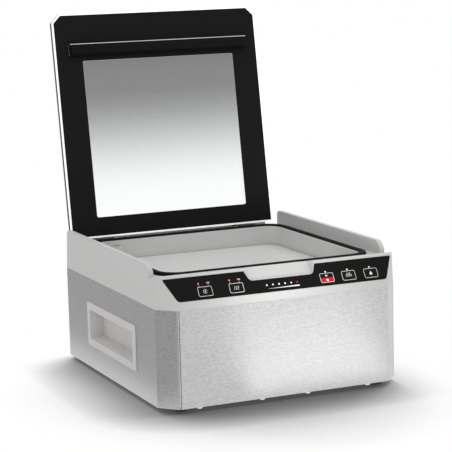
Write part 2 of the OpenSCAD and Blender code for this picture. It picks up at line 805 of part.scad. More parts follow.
module lift_pistons() {
    color("silver") for (s = [-1, 1]) translate([s * lift_x, seal_y, piston_low]) {
        cylinder(h = piston_h, d = lift_bore - 2 * run_gap);
        cylinder(h = bar_z - bar_h - piston_low, d = 8);
    }
}

// ---------------------------------------------------------------- lid

module glass_outline(inset = 0) {
    w = glass_hw - inset;
    cut = glass_cut - inset * cut_step(1, 1);
    polygon([[-w + cut, glass_y0 + inset], [w - cut, glass_y0 + inset], [w, glass_y0 + inset + cut],
        [w, glass_y1 - inset], [-w, glass_y1 - inset], [-w, glass_y0 + inset + cut]]);
}

module lid_glass() {
    bevel_z = 1.6;
    color([0.75, 0.8, 0.82]) lid_swing() {
        hull() {
            translate([0, 0, glass_z]) linear_extrude(eps) glass_outline(bevel_w);
            translate([0, 0, glass_z + bevel_z]) linear_extrude(glass_t - bevel_z - glass_ease) glass_outline();
            translate([0, 0, glass_z + glass_t - eps]) linear_extrude(eps) glass_outline(glass_ease);
        }
    }
}

module lid_border() {
    rear = glass_y1 - bevel_w - window_rear;
    color([0.08, 0.08, 0.08]) lid_swing() translate([0, 0, glass_z - border_t]) linear_extrude(border_t)
        difference() {
            glass_outline(bevel_w + 0.2);
            rounded_rect(-window_w / 2, rear - window_l, window_w / 2, rear, 3);
        }
}

module pad_holder() {
    color([0.15, 0.15, 0.15]) lid_swing() translate([0, seal_y, 0]) difference() {
        translate([-pad_l / 2, -pad_w / 2, pad_z + 3]) cube([pad_l, pad_w, pad_h - 3 - border_t]);
        translate([-pad_l / 2 - 1, -pad_w / 2 + 4, pad_z + 2]) cube([pad_l + 2, pad_w - 8, 3]);
    }
}

module pressure_pad() {
    color([0.3, 0.3, 0.3]) lid_swing() translate([0, seal_y, 0]) {
        translate([-pad_l / 2, -pad_w / 2 + 4, pad_z]) cube([pad_l, pad_w - 8, 5]);
    }
}

module hinge_arms() {
    top = glass_z + glass_t;
    back = glass_y1 + fit_gap;
    color([0.12, 0.12, 0.12]) lid_swing() for (s = [-1, 1]) translate([s * arm_x, 0, 0]) difference() {
        along_x(arm_w) {
            polygon(rounded([[glass_y1 - leaf_l, top], [glass_y1 - leaf_l, top + arm_t, 1.5],
                [back + arm_t, top + arm_t, 1.5], [back + arm_t, pivot_z + 2 * barrel_r, 4],
                [pivot_y + barrel_r * 0.9, pivot_z + barrel_r * 0.43], [pivot_y - barrel_r, pivot_z],
                [back, pivot_z + 1.4 * barrel_r, 3], [back, top]]));
            translate([pivot_y, pivot_z]) circle(barrel_r);
        }
        translate([0, pivot_y, pivot_z]) rotate([0, 90, 0])
            cylinder(h = arm_w + 2, d = pin_d + 2 * run_gap, center = true);
    }
}

module hinge_pins() {
    len = arm_w + 2 * post_t + 2 * post_gap + 4;
    color("silver") for (s = [-1, 1]) translate([s * arm_x, pivot_y, pivot_z]) rotate([0, 90, 0])
        cylinder(h = len, d = pin_d, center = true);
}

// ---------------------------------------------------------------- inside the cabinet

// Pump: a motor between two heads, on a bracket with rubber mounts
motor_d = 80;
motor_l = 96;
rib_t = 4;
rib_pitch = 11;
case_w = 36;
case_d = 54;
case_h = 40;
dome_d = 34;
dome_h = 18;
cap_d = 44;
cap_h = 11;
bracket_d = 72;
bracket_t = 2.5;
post_in = 8;
mount_d = 16;
mount_h = 10;
pump_y = -hd + 141;
pump_z = inside_z + mount_h + bracket_t + motor_d / 2 + 1.5;
pump_half = motor_l / 2 + case_w;

module pump_motor() {
    color("gray") translate([0, pump_y, pump_z]) rotate([0, 90, 0]) difference() {
        cylinder(h = motor_l, d = motor_d, center = true);
        for (z = [-3:3]) translate([0, 0, z * rib_pitch]) difference() {
            cylinder(h = rib_t, d = motor_d + 2, center = true);
            cylinder(h = rib_t + 1, d = motor_d - 1.5 * rib_t, center = true);
        }
    }
}

module pump_heads() {
    color("silver") for (s = [-1, 1]) translate([s * (motor_l + case_w) / 2, pump_y, pump_z]) {
        translate([-case_w / 2, -case_d / 2, -case_d / 2]) cube([case_w, case_d, case_h]);
        cylinder(h = case_h - case_d / 2 + dome_h, d = dome_d);
        translate([-case_w / 2, -cap_d / 2, case_h - case_d / 2 + dome_h]) cube([case_w, cap_d, cap_h]);
    }
}

module pump_bracket() {
    post = case_w - 2 * post_in;
    color("silver") translate([0, pump_y, inside_z + mount_h]) {
        translate([-pump_half, -bracket_d / 2, 0]) cube([2 * pump_half, bracket_d, bracket_t]);
        for (s = [-1, 1]) translate([s * (pump_half - case_w / 2) - post / 2, -bracket_d / 4, 0])
            cube([post, bracket_d / 2, pump_z - case_d / 2 - inside_z - mount_h]);
    }
}

module pump_mounts() {
    for (sx = [-1, 1], sy = [-1, 1]) color("dimgray")
        translate([sx * (pump_half - mount_d / 2 - 4), pump_y + sy * (bracket_d / 2 - mount_d / 2), inside_z])
            cylinder(h = mount_h, d = mount_d);
}

// Hose from the suction tower's tail, down, forward under the chamber, and in to the pump
hose_d = 11;
elbow_d = 12.2;
hose_bend = 14;

module suction_hose() {
    top = floor_z - tower_tail;
    run_z = pump_z + case_h - case_d / 2 - hose_d / 2 - 1;
    color([0.3, 0.3, 0.3]) {
        translate([tower_at.x, tower_at.y, run_z + hose_bend]) cylinder(h = top - run_z - hose_bend, d = hose_d);
        translate([tower_at.x, tower_at.y - hose_bend, run_z + hose_bend]) rotate([0, 90, 0])
            rotate_extrude(angle = 90) translate([hose_bend, 0]) circle(d = elbow_d);
        translate([tower_at.x, pump_y + hose_bend, run_z]) rotate([-90, 0, 0])
            cylinder(h = tower_at.y - pump_y - 2 * hose_bend, d = hose_d);
        translate([tower_at.x + hose_bend, pump_y + hose_bend, run_z]) rotate([0, 0, 180])
            rotate_extrude(angle = 90) translate([hose_bend, 0]) circle(d = elbow_d);
        translate([tower_at.x + hose_bend, pump_y, run_z]) rotate([0, 90, 0])
            cylinder(h = -pump_half - tower_at.x - hose_bend, d = hose_d);
    }
}

// Transformer: an upright core with its winding through it
core_in = 80;
core_rear = 119;
core_w = 68;
core_d = 48;
core_h = 56;
coil_d = 68;
coil_h = 36;
coil_in = 10;

module transformer() {
    color("peru") translate([hw - core_in, hd - core_rear, inside_z]) {
        translate([-core_w / 2, -core_d / 2, 0]) cube([core_w, core_d, core_h]);
        translate([-core_w / 2 + coil_in, -coil_d / 2, coil_in])
            cube([core_w - 2 * coil_in, coil_d, coil_h]);
    }
}

// Power board on four standoffs in the rear left corner
pcb_w = 102;
pcb_d = 82;
pcb_lift = 8;
pcb_x0 = -hw + 32;
pcb_y0 = hd - 137;
standoff_d = 6;
stud_d = 3;
standoff_at = [for (x = [standoff_d, pcb_w - standoff_d], y = [standoff_d, pcb_d - standoff_d])
    [pcb_x0 + x, pcb_y0 + y]];
relay_w = 16;
relay_d = 20;
relay_h = 15;
capacitor_d = 18;
capacitor_h = 26;
choke_w = 26;

module power_board() {
    color("darkgreen") translate([0, 0, inside_z + pcb_lift]) difference() {
        translate([pcb_x0, pcb_y0, 0]) cube([pcb_w, pcb_d, board_t]);
        for (p = standoff_at) translate([p.x, p.y, -1]) cylinder(h = board_t + 2, d = stud_d + screw_play);
    }
    color("gray") translate([pcb_x0, pcb_y0, inside_z + pcb_lift + board_t]) {
        for (i = [0:2]) translate([relay_w + 1.4 * relay_w * i, pcb_d - 1.5 * relay_d, 0])
            cube([relay_w, relay_d, relay_h]);
        translate([pcb_w - 1.4 * capacitor_d, 16, 0]) cylinder(h = capacitor_h, d = capacitor_d);
        translate([pcb_w - 2.7 * capacitor_d, 20, 0]) cylinder(h = 0.8 * capacitor_h, d = 0.7 * capacitor_d);
        translate([choke_w / 2, 12, 0]) cube([choke_w, 0.8 * choke_w, 0.7 * choke_w]);
    }
}

module board_standoffs() {
    color("gainsboro") for (p = standoff_at) translate([p.x, p.y, inside_z]) {
        cylinder(h = pcb_lift, d = standoff_d);
        cylinder(h = pcb_lift + board_t + 1.5, d = stud_d);
    }
}

valve_in = 56;
valve_rear = 213;
valve_w = 26;
valve_d = 28;
valve_h = 30;
valve_coil_d = 18;
valve_coil_h = 22;
valve_port_d = 8;
valve_pitch = 40;

module solenoid_valves() {
    color("dimgray") for (i = [0, 1]) translate([hw - valve_in, hd - valve_rear + valve_pitch * i, inside_z]) {
        translate([-valve_w / 2, -valve_d / 2, 0]) cube([valve_w, valve_d, valve_h]);
        translate([0, 0, valve_h]) cylinder(h = valve_coil_h, d = valve_coil_d);
        translate([-valve_w / 2 - 11, 0, valve_h * 0.4]) rotate([0, 90, 0]) cylinder(h = 12, d = valve_port_d);
    }
}

sensor_in = 8;
sensor_rear = 143;
sensor_w = 18;
sensor_h = 12;

module pressure_sensor() {
    color("steelblue") translate([-sensor_in, hd - sensor_rear, inside_z]) {
        translate([-sensor_w / 2, -sensor_w / 2, 0]) cube([sensor_w, sensor_w, sensor_h]);
        translate([0, 0, sensor_h]) cylinder(h = 8, d = 5);
    }
}

// Cooling fan on the back, behind the vent slots
fan_s = 60;
fan_t = 15;
fan_rim = 2;
hub_d = 24;
fan_hole_pitch = 50;
fan_hole_d = 4.3;
blade_t = 1.6;
blade_h = 14;
blade_turn = 38;
fan_z = rear_z + 20;
fan_y = hd - sheet_t - fan_t;

// Screws in the back: three into the housing's skirt and four that hold the fan
skirt_screw_at = [for (i = [-1, 0, 1]) [i * (hw - corner_x - 16), steel_z - 6]];
fan_screw_at = [for (i = [-1, 1], k = [-1, 1]) [fan_x, fan_z] + [i, k] * fan_hole_pitch / 2];
back_screw_at = concat(skirt_screw_at, fan_screw_at);

module fan_frame() {
    color([0.15, 0.15, 0.15]) translate([fan_x, fan_y, fan_z]) difference() {
        union() {
            difference() {
                along_y(fan_t) pill(fan_s, fan_s, 4);
                translate([0, -1, 0]) along_y(fan_t + 2) circle(d = fan_s - 2 * fan_rim);
            }
            for (a = [45, 135]) rotate([0, a, 0]) translate([-fan_s / 2 + 1, 0, -2])
                cube([fan_s - 2, fan_rim, 4]);
            along_y(fan_rim) circle(d = hub_d);
        }
        for (x = [-1, 1], z = [-1, 1]) translate([x, 0, z] * fan_hole_pitch / 2 + [0, -1, 0])
            along_y(fan_t + 2) circle(d = fan_hole_d);
    }
}

module fan_rotor() {
    hub_h = fan_t - fan_rim - 2.5;
    color([0.2, 0.2, 0.2]) translate([fan_x, fan_y + fan_rim + 0.8, fan_z]) {
        along_y(hub_h) circle(d = hub_d);
        for (i = [0:6]) rotate([0, i * 360 / 7, 0]) translate([hub_d / 2 - 3, hub_h / 2, 0])
            rotate([blade_turn, 0, 0]) translate([0, -blade_t / 2, -blade_h / 2])
                cube([fan_s / 2 - fan_rim - hub_d / 2 + 1, blade_t, blade_h]);
    }
}

// Mains inlet: flange, body and a cavity with two cut corners
inlet_w = 27.6;
inlet_h = 20.6;
inlet_rim = 3.2;
inlet_flange_t = 2.4;
inlet_deep = 20;
socket_w = 24;
socket_h = 16;
socket_deep = 16;
socket_cut = 4;
blade_pitch = 7;
blade_w = 2;
blade_tall = 4;
blade_l = 13;

module power_inlet() {
    color([0.12, 0.12, 0.12]) translate([inlet_x, hd, rear_z]) difference() {
        union() {
            along_y(inlet_flange_t) pill(inlet_w + 2 * inlet_rim, inlet_h + 2 * inlet_rim, 2);
            translate([0, -inlet_deep, 0]) along_y(inlet_deep) square([inlet_w, inlet_h], center = true);
        }
        translate([0, -socket_deep, 0]) along_y(inlet_deep) polygon([
            [-socket_w / 2, -socket_h / 2], [socket_w / 2, -socket_h / 2],
            [socket_w / 2, socket_h / 2 - socket_cut], [socket_w / 2 - socket_cut, socket_h / 2],
            [-socket_w / 2 + socket_cut, socket_h / 2], [-socket_w / 2, socket_h / 2 - socket_cut]]);
    }
}

module inlet_pins() {
    color("silver") translate([inlet_x, hd - socket_deep, rear_z]) {
        for (x = [-blade_pitch, blade_pitch]) translate([x - blade_w / 2, 0, -blade_tall / 2])
            cube([blade_w, blade_l, blade_tall]);
        translate([-blade_w / 2, 0, 1]) cube([blade_w, blade_l + 1.5, blade_tall]);
    }
}

// Mains switch: a frame, and a rocker with two faces that meet in a shallow V
switch_w = 19.6;
switch_h = 27.6;
switch_rim = 2.2;
switch_flange_t = 1.8;
switch_deep = 18;
rocker_w = 14.4;
rocker_gap = 0.3;
rocker_half = 11.2;
rocker_out = 6.4;
rocker_mid = 4.2;
rocker_back = 3;                             // pivot behind the cabinet's back
rocker_turn = 14;
trunnion_d = 2.4;
rocker_pivot = [switch_x, hd - rocker_back, rear_z];

module switch_frame() {
    color([0.12, 0.12, 0.12]) translate([switch_x, hd, rear_z]) difference() {
        union() {
            along_y(switch_flange_t) pill(switch_w + 2 * switch_rim, switch_h + 2 * switch_rim, 2);
            translate([0, -switch_deep, 0]) along_y(switch_deep) square([switch_w, switch_h], center = true);
        }
        translate([0, rocker_out - rocker_back - 14.4, 0]) along_y(14.4)
            square([rocker_w + 2 * rocker_gap, 2 * rocker_half + 1.6], center = true);
        translate([0, -rocker_back, 0]) rotate([0, 90, 0])
            cylinder(h = rocker_w + 2 * rocker_gap + 2.4, d = trunnion_d + 2 * run_gap, center = true);
    }
}

module rocker() {
    color([0.75, 0.1, 0.12]) translate(rocker_pivot) rotate([-rocker_turn / 2, 0, 0]) {
        rotate([0, 90, 0]) cylinder(h = rocker_w + 2 * rocker_gap + 2, d = trunnion_d, center = true);
        along_x(rocker_w) polygon(rounded([[-4, -4], [rocker_out - 3, -rocker_half, 0.8], [rocker_out, -rocker_half + 0.2, 0.8],
            [rocker_mid, 0], [rocker_out, rocker_half - 0.2, 0.8], [rocker_out - 3, rocker_half, 0.8], [-4, 4]]));
    }
}

// ---------------------------------------------------------------- assembly

// Rearmost point of the open lid, and the middle of the ground covered
rear_reach = pivot_y + (glass_y0 + glass_ease - pivot_y) * cos(lid_open)
    + (glass_z + glass_t - pivot_z) * sin(lid_open);
middle_y = (rear_reach - hd) / 2;

module placed() { translate([0, -middle_y, 0]) children(); }

placed() side_left();
placed() side_right();
placed() front_panel();
placed() back_panel();
placed() base_plate();
placed() base_screws();
placed() feet();
placed() foot_screws();
placed() back_screws();
placed() upper_housing();
placed() chamber_tub();
placed() lid_gasket();
placed() control_overlay();
placed() key_vacuum();
placed() key_sealing();
placed() key_start();
placed() key_seal();
placed() key_marinate();
placed() white_lenses();
placed() red_lenses();
placed() control_board();
placed() tact_switches();
placed() handle_left();
placed() handle_right();
placed() suction_tower();
placed() tower_strainer();
placed() filler_plate_lower();
placed() filler_plate_upper();
placed() seal_bar();
placed() heating_strip();
placed() seal_tape();
placed() lift_cylinders();
placed() lift_pistons();
placed() lid_glass();
placed() lid_border();
placed() pad_holder();
placed() pressure_pad();
placed() hinge_arms();
placed() hinge_pins();
placed() pump_motor();
placed() pump_heads();
placed() pump_bracket();
placed() pump_mounts();
placed() suction_hose();
placed() transformer();
placed() power_board();
placed() board_standoffs();
placed() solenoid_valves();
placed() pressure_sensor();
placed() fan_frame();
placed() fan_rotor();
placed() power_inlet();
placed() inlet_pins();
placed() switch_frame();
placed() rocker();
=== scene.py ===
"""Looks of a chamber vacuum sealer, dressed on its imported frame.

Every piece is made in the frame's own metres: +Z up, -Y towards the control
panel, +X to the right. The lid is drawn open, as the frame has it at rest.
"""

from __future__ import annotations

import json
import logging
import math
from dataclasses import dataclass, field
from enum import Enum
from typing import Callable, Sequence, Union

import bpy
import numpy as np
from mathutils import Matrix, Vector


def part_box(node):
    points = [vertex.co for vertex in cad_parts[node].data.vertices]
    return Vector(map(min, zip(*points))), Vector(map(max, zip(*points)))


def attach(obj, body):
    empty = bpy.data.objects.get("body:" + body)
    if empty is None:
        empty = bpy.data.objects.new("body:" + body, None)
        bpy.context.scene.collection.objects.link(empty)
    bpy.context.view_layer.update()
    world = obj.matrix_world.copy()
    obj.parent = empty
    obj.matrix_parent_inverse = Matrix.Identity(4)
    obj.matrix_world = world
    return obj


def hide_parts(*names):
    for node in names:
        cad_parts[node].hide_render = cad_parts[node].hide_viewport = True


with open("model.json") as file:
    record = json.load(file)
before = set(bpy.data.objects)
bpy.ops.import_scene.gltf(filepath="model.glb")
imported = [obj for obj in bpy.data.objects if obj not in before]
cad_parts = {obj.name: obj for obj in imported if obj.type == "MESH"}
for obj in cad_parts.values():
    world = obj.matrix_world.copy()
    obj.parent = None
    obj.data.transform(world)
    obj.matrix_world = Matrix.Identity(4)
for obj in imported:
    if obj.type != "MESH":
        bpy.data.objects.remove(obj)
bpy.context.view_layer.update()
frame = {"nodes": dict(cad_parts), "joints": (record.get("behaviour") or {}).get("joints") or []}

LOG = logging.getLogger("sealer")
MM = 0.001
RIGHT = np.array([1.0, 0.0, 0.0])
Number = Union[int, float]
Pair = tuple[float, float]
Triple = tuple[float, float, float]
Colour = Triple
Dress = tuple[tuple, ...]


# ------------------------------------------------------------------ shaders


def grey(level: float) -> Colour:
    """Neutral colour of one level."""
    return (level, level, level)


def sign(operation: str) -> tuple[Callable, Callable]:
    """The two methods of a sign.

    Args:
        operation: The Math node's name for it.

    Returns:
        Method with the signal first, and method with it after a number.
    """

    def first(self: Signal, other: Value) -> Signal:
        """The signal, the sign, then a signal or number."""
        return self.joined(operation, self, other)

    def last(self: Signal, other: Number) -> Signal:
        """A number, the sign, then the signal."""
        return self.joined(operation, other, self)

    return first, last


class Signal:
    """A value on a shader socket, so that plain Python sums make Math nodes."""

    __add__, __radd__ = sign("ADD")
    __sub__, __rsub__ = sign("SUBTRACT")
    __mul__, __rmul__ = sign("MULTIPLY")
    __pow__, __rpow__ = sign("POWER")

    def __init__(self, graph: Graph, socket: bpy.types.NodeSocket | None) -> None:
        """Keeps the graph and the socket that the value comes from."""
        self.graph = graph
        self.socket = socket

    def out(self, output: Union[int, str]) -> Signal:
        """Another output of the node that this signal comes from."""
        return Signal(self.graph, self.socket.node.outputs[output])

    def joined(self, operation: str, first: Value, second: Value) -> Signal:
        """Adds one Math node of two inputs and returns its value."""
        return self.graph.node("ShaderNodeMath", {"operation": operation}, {0: first, 1: second})

    def or_larger(self, other: Value) -> Signal:
        """The larger of the signal and another."""
        return self.joined("MAXIMUM", self, other)

    def ramp(self, low: float, high: float) -> Signal:
        """Smooth step of the signal: 0 below low, 1 above high."""
        settings = {"interpolation_type": "SMOOTHSTEP"}
        return self.graph.node("ShaderNodeMapRange", settings, {0: self, 1: low, 2: high})


Value = Union[Signal, Number]


class Graph:
    """The node tree of one material or world."""

    def __init__(self, name: str, kind: str = "materials") -> None:
        """Starts an empty tree on a new material, or on a new one of "worlds".

        Args:
            name: The owner's name.
            kind: Blender's collection that the owner is added to.
        """
        self.owner = getattr(bpy.data, kind).new(name)
        self.owner.use_nodes = True
        self.tree = self.owner.node_tree
        self.tree.nodes.clear()

    def node(self, kind: str, settings: dict | None = None, sockets: dict | None = None) -> Signal:
        """Adds a node of any type.

        Args:
            kind: Blender's name for the node's type.
            settings: What is set on the node itself, before its sockets.
            sockets: Numbers, tuples or signals by input name or index.

        Returns:
            Signal of the node's first output, if it has one.
        """
        made = self.tree.nodes.new(kind)
        for key, value in (settings or {}).items():
            setattr(made, key, value)
        for key, value in (sockets or {}).items():
            if isinstance(value, Signal):
                self.tree.links.new(value.socket, made.inputs[key])
            else:
                made.inputs[key].default_value = value
        return Signal(self, made.outputs[0] if made.outputs else None)

    def place(self) -> Signal:
        """Object coordinates, which are the frame's own metres."""
        return self.node("ShaderNodeTexCoord").out("Object")

    def stretched(self, scale: Triple) -> Signal:
        """Object coordinates times a scale on each axis, in 1/m."""
        sockets = {0: self.place(), 1: scale}
        return self.node("ShaderNodeVectorMath", {"operation": "MULTIPLY"}, sockets)

    def noise(
        self, scale: Union[float, Triple], detail: float = 2.0, rough: float = 0.5
    ) -> Signal:
        """Value noise around 0.5 over Object coordinates.

        Args:
            scale: One number for all axes or one for each, in 1/m.
            detail: Blender's detail.
            rough: Blender's roughness.

        Returns:
            The noise.
        """
        each = scale if isinstance(scale, tuple) else (scale,) * 3
        sockets = {"Vector": self.stretched(each), "Scale": 1.0}
        sockets |= {"Detail": detail, "Roughness": rough}
        return self.node("ShaderNodeTexNoise", {"noise_dimensions": "3D"}, sockets)

    def blend(self, factor: Value, first: Colour, second: Colour) -> Signal:
        """Mix of two colours.

        Args:
            factor: 0 gives the first colour, 1 the second.
            first: A colour.
            second: Another.

        Returns:
            The mixed colour.
        """
        settings = {"data_type": "RGBA", "clamp_factor": True}
        sockets = {0: factor, 6: (*first, 1.0), 7: (*second, 1.0)}
        return self.node("ShaderNodeMix", settings, sockets).out(2)

    def tone(self, colour: Colour, spread: float, amount: Signal) -> Signal:
        """Colour that turns from darker to lighter by a share as a signal runs 0 to 1."""
        light = tuple(min(1.0, c * (1 + spread)) for c in colour)
        return self.blend(amount, tuple(c * (1 - spread) for c in colour), light)

    def soft_edges(self, radius: float) -> Signal:
        """Normal that rounds a piece's hard edges by a radius in metres."""
        return self.node("ShaderNodeBevel", {"samples": 6}, {"Radius": radius})

    def bump(
        self, height: Signal, depth: float, strength: float, normal: Signal | None = None
    ) -> Signal:
        """Normal from a height signal.

        Args:
            height: Signal from 0 to 1.
            depth: Height in metres that 1 stands for.
            strength: Share of the bump that is kept.
            normal: Normal that the bump is laid over.

        Returns:
            The bumped normal.
        """
        sockets = {"Height": height, "Distance": depth, "Strength": strength}
        if normal is not None:
            sockets["Normal"] = normal
        return self.node("ShaderNodeBump", {}, sockets)

    def principled(self, sockets: dict) -> Signal:
        """Principled shader with these socket values or links."""
        return self.node("ShaderNodeBsdfPrincipled", {}, sockets)

    def glowing(self, colour: Union[Signal, tuple], level: float) -> Signal:
        """Emission shader of a colour and strength."""
        return self.node("ShaderNodeEmission", {}, {"Color": colour, "Strength": level})

    def finish(self, shader: Signal, output: str = "ShaderNodeOutputMaterial") -> bpy.types.ID:
        """Links the shader to the tree's output and returns the material or world."""
        self.node(output, {}, {"Surface": shader})
        return self.owner


class Grain(Enum):
    """Direction that a metal's brushing runs in: whether each axis lies across it."""

    LEVEL = (False, False, True)
    ALONG_X = (False, True, True)


@dataclass(frozen=True)
class Finish:
    """What something is made of: its material's name, its slot and its colour."""

    name: str
    slot: str
    colour: Colour

    def sockets(self, g: Graph) -> dict:
        """Works out what the principled shader gets.

        Args:
            g: The material's tree.

        Returns:
            Numbers and signals by socket name.
        """
        raise NotImplementedError

    def build(self) -> bpy.types.Material:
        """Material with a principled shader on those sockets."""
        g = Graph(self.name)
        return g.finish(g.principled(self.sockets(g)))


@dataclass(frozen=True)
class BrushedSteel(Finish):
    """Stainless sheet with a satin brushed face.

    Hairs and scratches are lines per metre along and across the brushing, the
    noise's detail and its roughness.
    """

    slot: str = "stainless"
    colour: Colour = grey(0.53)
    roughness: float = 0.34
    grain: Grain = Grain.LEVEL
    edge: float = 0.0004
    spread: float = 0.17
    depth: float = 0.00003
    hairs: tuple[Pair, float, float] = ((36.0, 936.0), 4.0, 0.62)
    scratches: tuple[Pair, float, float] = ((190.0, 820.0), 2.0, 0.5)

    def sockets(self, g: Graph) -> dict:
        """Long hair lines over shorter scratches over a faint cloudiness."""
        hair, short = (
            g.noise(tuple(size[across] for across in self.grain.value), detail, rough)
            for size, detail, rough in (self.hairs, self.scratches)
        )
        cloud = g.noise(22.0)
        lines = hair * 0.35 + short * 0.65
        shade = lines.ramp(0.3, 0.7) * 0.85 + cloud * 0.15
        return {
            "Base Color": g.tone(self.colour, self.spread, shade),
            "Metallic": 1.0,
            "Roughness": self.roughness + (lines - 0.5) * 0.26 + (cloud - 0.5) * 0.05,
            "Anisotropic": 0.65,
            "Anisotropic Rotation": 0.25,
            "Normal": g.bump(lines, self.depth, 0.35, g.soft_edges(self.edge)),
        }


@dataclass(frozen=True)
class Skin(Finish):
    """Opaque finish: a fine grain over a slow drift, in its tone, gloss and bump.

    Fine is the grain's detail and roughness; drift is the slow noise's scale,
    detail and roughness; share is the grain's part in the tone; gloss is how
    far drift and grain move the roughness.
    """

    roughness: float = 0.42
    shine: float = 0.4
    spread: float = 0.02
    grain: float = 1900.0
    depth: float = 0.00003
    strength: float = 0.4
    edge: float = 0.0008
    metallic: float = 0.0
    fine: Pair = (2.0, 0.6)
    drift: tuple[Union[float, Triple], float, float] = ((9.0, 14.0, 30.0), 3.0, 0.45)
    share: float = 0.35
    gloss: Pair = (0.12, 0.06)

    def sockets(self, g: Graph) -> dict:
        """Grain and drift mixed in tone and gloss, and rounded edges if they have a radius."""
        fine, drift = g.noise(self.grain, *self.fine), g.noise(*self.drift)
        slow, quick = self.gloss
        edges = g.soft_edges(self.edge) if self.edge else None
        tone = fine * self.share + drift * (1 - self.share)
        return {
            "Base Color": g.tone(self.colour, self.spread, tone),
            "Metallic": self.metallic,
            "Roughness": self.roughness + (drift - 0.5) * slow + (fine - 0.5) * quick,
            "Specular IOR Level": self.shine,
            "Normal": g.bump(fine, self.depth, self.strength, edges),
        }


@dataclass(frozen=True)
class Moulded(Skin):
    """Injection-moulded plastic: a spark-eroded grain over flow marks."""


@dataclass(frozen=True)
class BareMetal(Skin):
    """Turned, cast, plated or blackened metal: tooled speckle and slow dulling."""

    roughness: float = 0.3
    shine: float = 0.5
    spread: float = 0.12
    grain: float = 900.0
    depth: float = 0.00002
    strength: float = 0.5
    edge: float = 0.0003
    metallic: float = 1.0
    fine: Pair = (3.0, 0.6)
    drift: Triple = (45.0, 2.0, 0.5)
    share: float = 0.6
    gloss: Pair = (0.16, 0.08)


@dataclass(frozen=True)
class Film(Skin):
    """Screen-printed polyester film or ink: velvet tooth under a thin gloss."""

    roughness: float = 0.33
    shine: float = 0.12
    spread: float = 0.06
    grain: float = 2600.0
    depth: float = 0.00001
    strength: float = 0.3
    edge: float = 0.0
    fine: Pair = (1.0, 0.5)
    drift: Triple = (70.0, 3.0, 0.5)
    share: float = 0.0
    gloss: Pair = (0.06, 0.1)


@dataclass(frozen=True)
class Rubber(Skin):
    """Moulded rubber or silicone: pitted skin with a cloudy bloom."""

    roughness: float = 0.55
    shine: float = 0.3
    spread: float = 0.25
    grain: float = 1300.0
    depth: float = 0.00004
    strength: float = 0.5
    edge: float = 0.0005
    fine: Pair = (3.0, 0.65)
    drift: Triple = (60.0, 3.0, 0.55)
    share: float = 0.3
    gloss: Pair = (0.18, 0.0)


@dataclass(frozen=True)
class Paint(Skin):
    """Baked enamel or varnish on metal: orange peel and a slow drift of gloss."""

    roughness: float = 0.36
    shine: float = 0.35
    spread: float = 0.025
    grain: float = 380.0
    depth: float = 0.00004
    strength: float = 0.3
    edge: float = 0.0006
    fine: Pair = (2.0, 0.5)
    drift: Triple = (20.0, 2.0, 0.5)
    share: float = 0.0
    gloss: Pair = (0.1, 0.05)


@dataclass(frozen=True)
class Lens(Finish):
    """Tinted lamp lens that glows a little; the lid's pale ground edge uses it too, where the glow
    is painted light.
    """

    glow: float

    def sockets(self, g: Graph) -> dict:
        """Clear-coated moulding with an even glow and a faint swirl."""
        swirl = g.noise(420.0)
        return {
            "Base Color": g.tone(self.colour, 0.06, swirl),
            "Roughness": 0.16 + swirl * 0.08,
            "Coat Weight": 0.4,
            "Emission Color": g.tone(self.colour, 0.04, swirl),
            "Emission Strength": self.glow,
        }


@dataclass(frozen=True)
class ClearGlass(Finish):
    """Tempered float glass with polished edges."""

    name: str = "clear tempered glass"
    slot: str = "lid_glass"
    colour: Colour = (0.965, 0.98, 0.975)

    def sockets(self, g: Graph) -> dict:
        """Clear glass; wiping marks change its roughness a little."""
        wipe = g.noise((30.0, 90.0, 90.0), 3.0)
        return {
            "Base Color": g.tone(self.colour, 0.006, wipe),
            "Roughness": wipe.ramp(0.45, 0.8) * 0.02,
            "IOR": 1.48,
            "Transmission Weight": 1.0,
        }


@dataclass(frozen=True)
class PaintedReflectionBand(Finish):
    """Painted reflection on the window: a grey tint that fades out down the window, on both faces
    of a thin sheet.
    """

    low: float
    high: float
    strongest: float = 0.98

    def sockets(self, g: Graph) -> dict:
        """Coverage is a smooth step of the height; each face takes its square root's share."""
        height = g.node("ShaderNodeSeparateXYZ", {}, {0: g.place()}).out(2)
        mottle = g.noise(500.0, 1.0)
        return {
            "Base Color": g.tone(self.colour, 0.01, mottle),
            "Roughness": 0.5 + (mottle - 0.5) * 0.1,
            "Specular IOR Level": 0.0,
            # Painted reflection: the sheet is greyest at the window's top and fades out towards its
            # bottom.
            "Alpha": 1 - (1 - height.ramp(self.low, self.high) * self.strongest) ** 0.5,
        }


@dataclass(frozen=True)
class Board(Finish):
    """Fibreglass circuit board under solder mask, with tracks showing."""

    name: str = "solder mask"
    slot: str = "board_green"
    colour: Colour = (0.02, 0.14, 0.05)
    cells: float = 380.0

    def sockets(self, g: Graph) -> dict:
        """Square-cell tracks a little lighter than the mask."""
        settings = {"distance": "CHEBYCHEV", "feature": "F1"}
        sockets = {"Vector": g.stretched((self.cells,) * 3), "Scale": 1.0}
        tracks = g.node("ShaderNodeTexVoronoi", settings, sockets).ramp(0.34, 0.4)
        return {
            "Base Color": g.blend(tracks, self.colour, tuple(1.8 * c for c in self.colour)),
            "Roughness": 0.3 + tracks * 0.08,
            "Normal": g.bump(tracks, 0.00003, 0.4),
        }


@dataclass(frozen=True)
class Winding(Finish):
    """Varnished copper wire, wound in level turns."""

    name: str = "varnished winding"
    slot: str = "winding_copper"
    colour: Colour = (0.42, 0.17, 0.06)
    turns: float = 330.0

    def sockets(self, g: Graph) -> dict:
        """Round ridges stacked in Z, one for each turn."""
        settings = {"wave_type": "BANDS", "bands_direction": "Z", "wave_profile": "SIN"}
        sockets = {"Vector": g.place(), "Scale": self.turns, "Distortion": 0.4, "Detail": 1.0}
        ridges = g.node("ShaderNodeTexWave", settings, sockets)
        return {
            "Base Color": g.tone(self.colour, 0.35, ridges),
            "Roughness": 0.3 + (1 - ridges) * 0.2,
            "Coat Weight": 0.3,
            "Normal": g.bump(ridges, 0.0002, 0.6),
        }


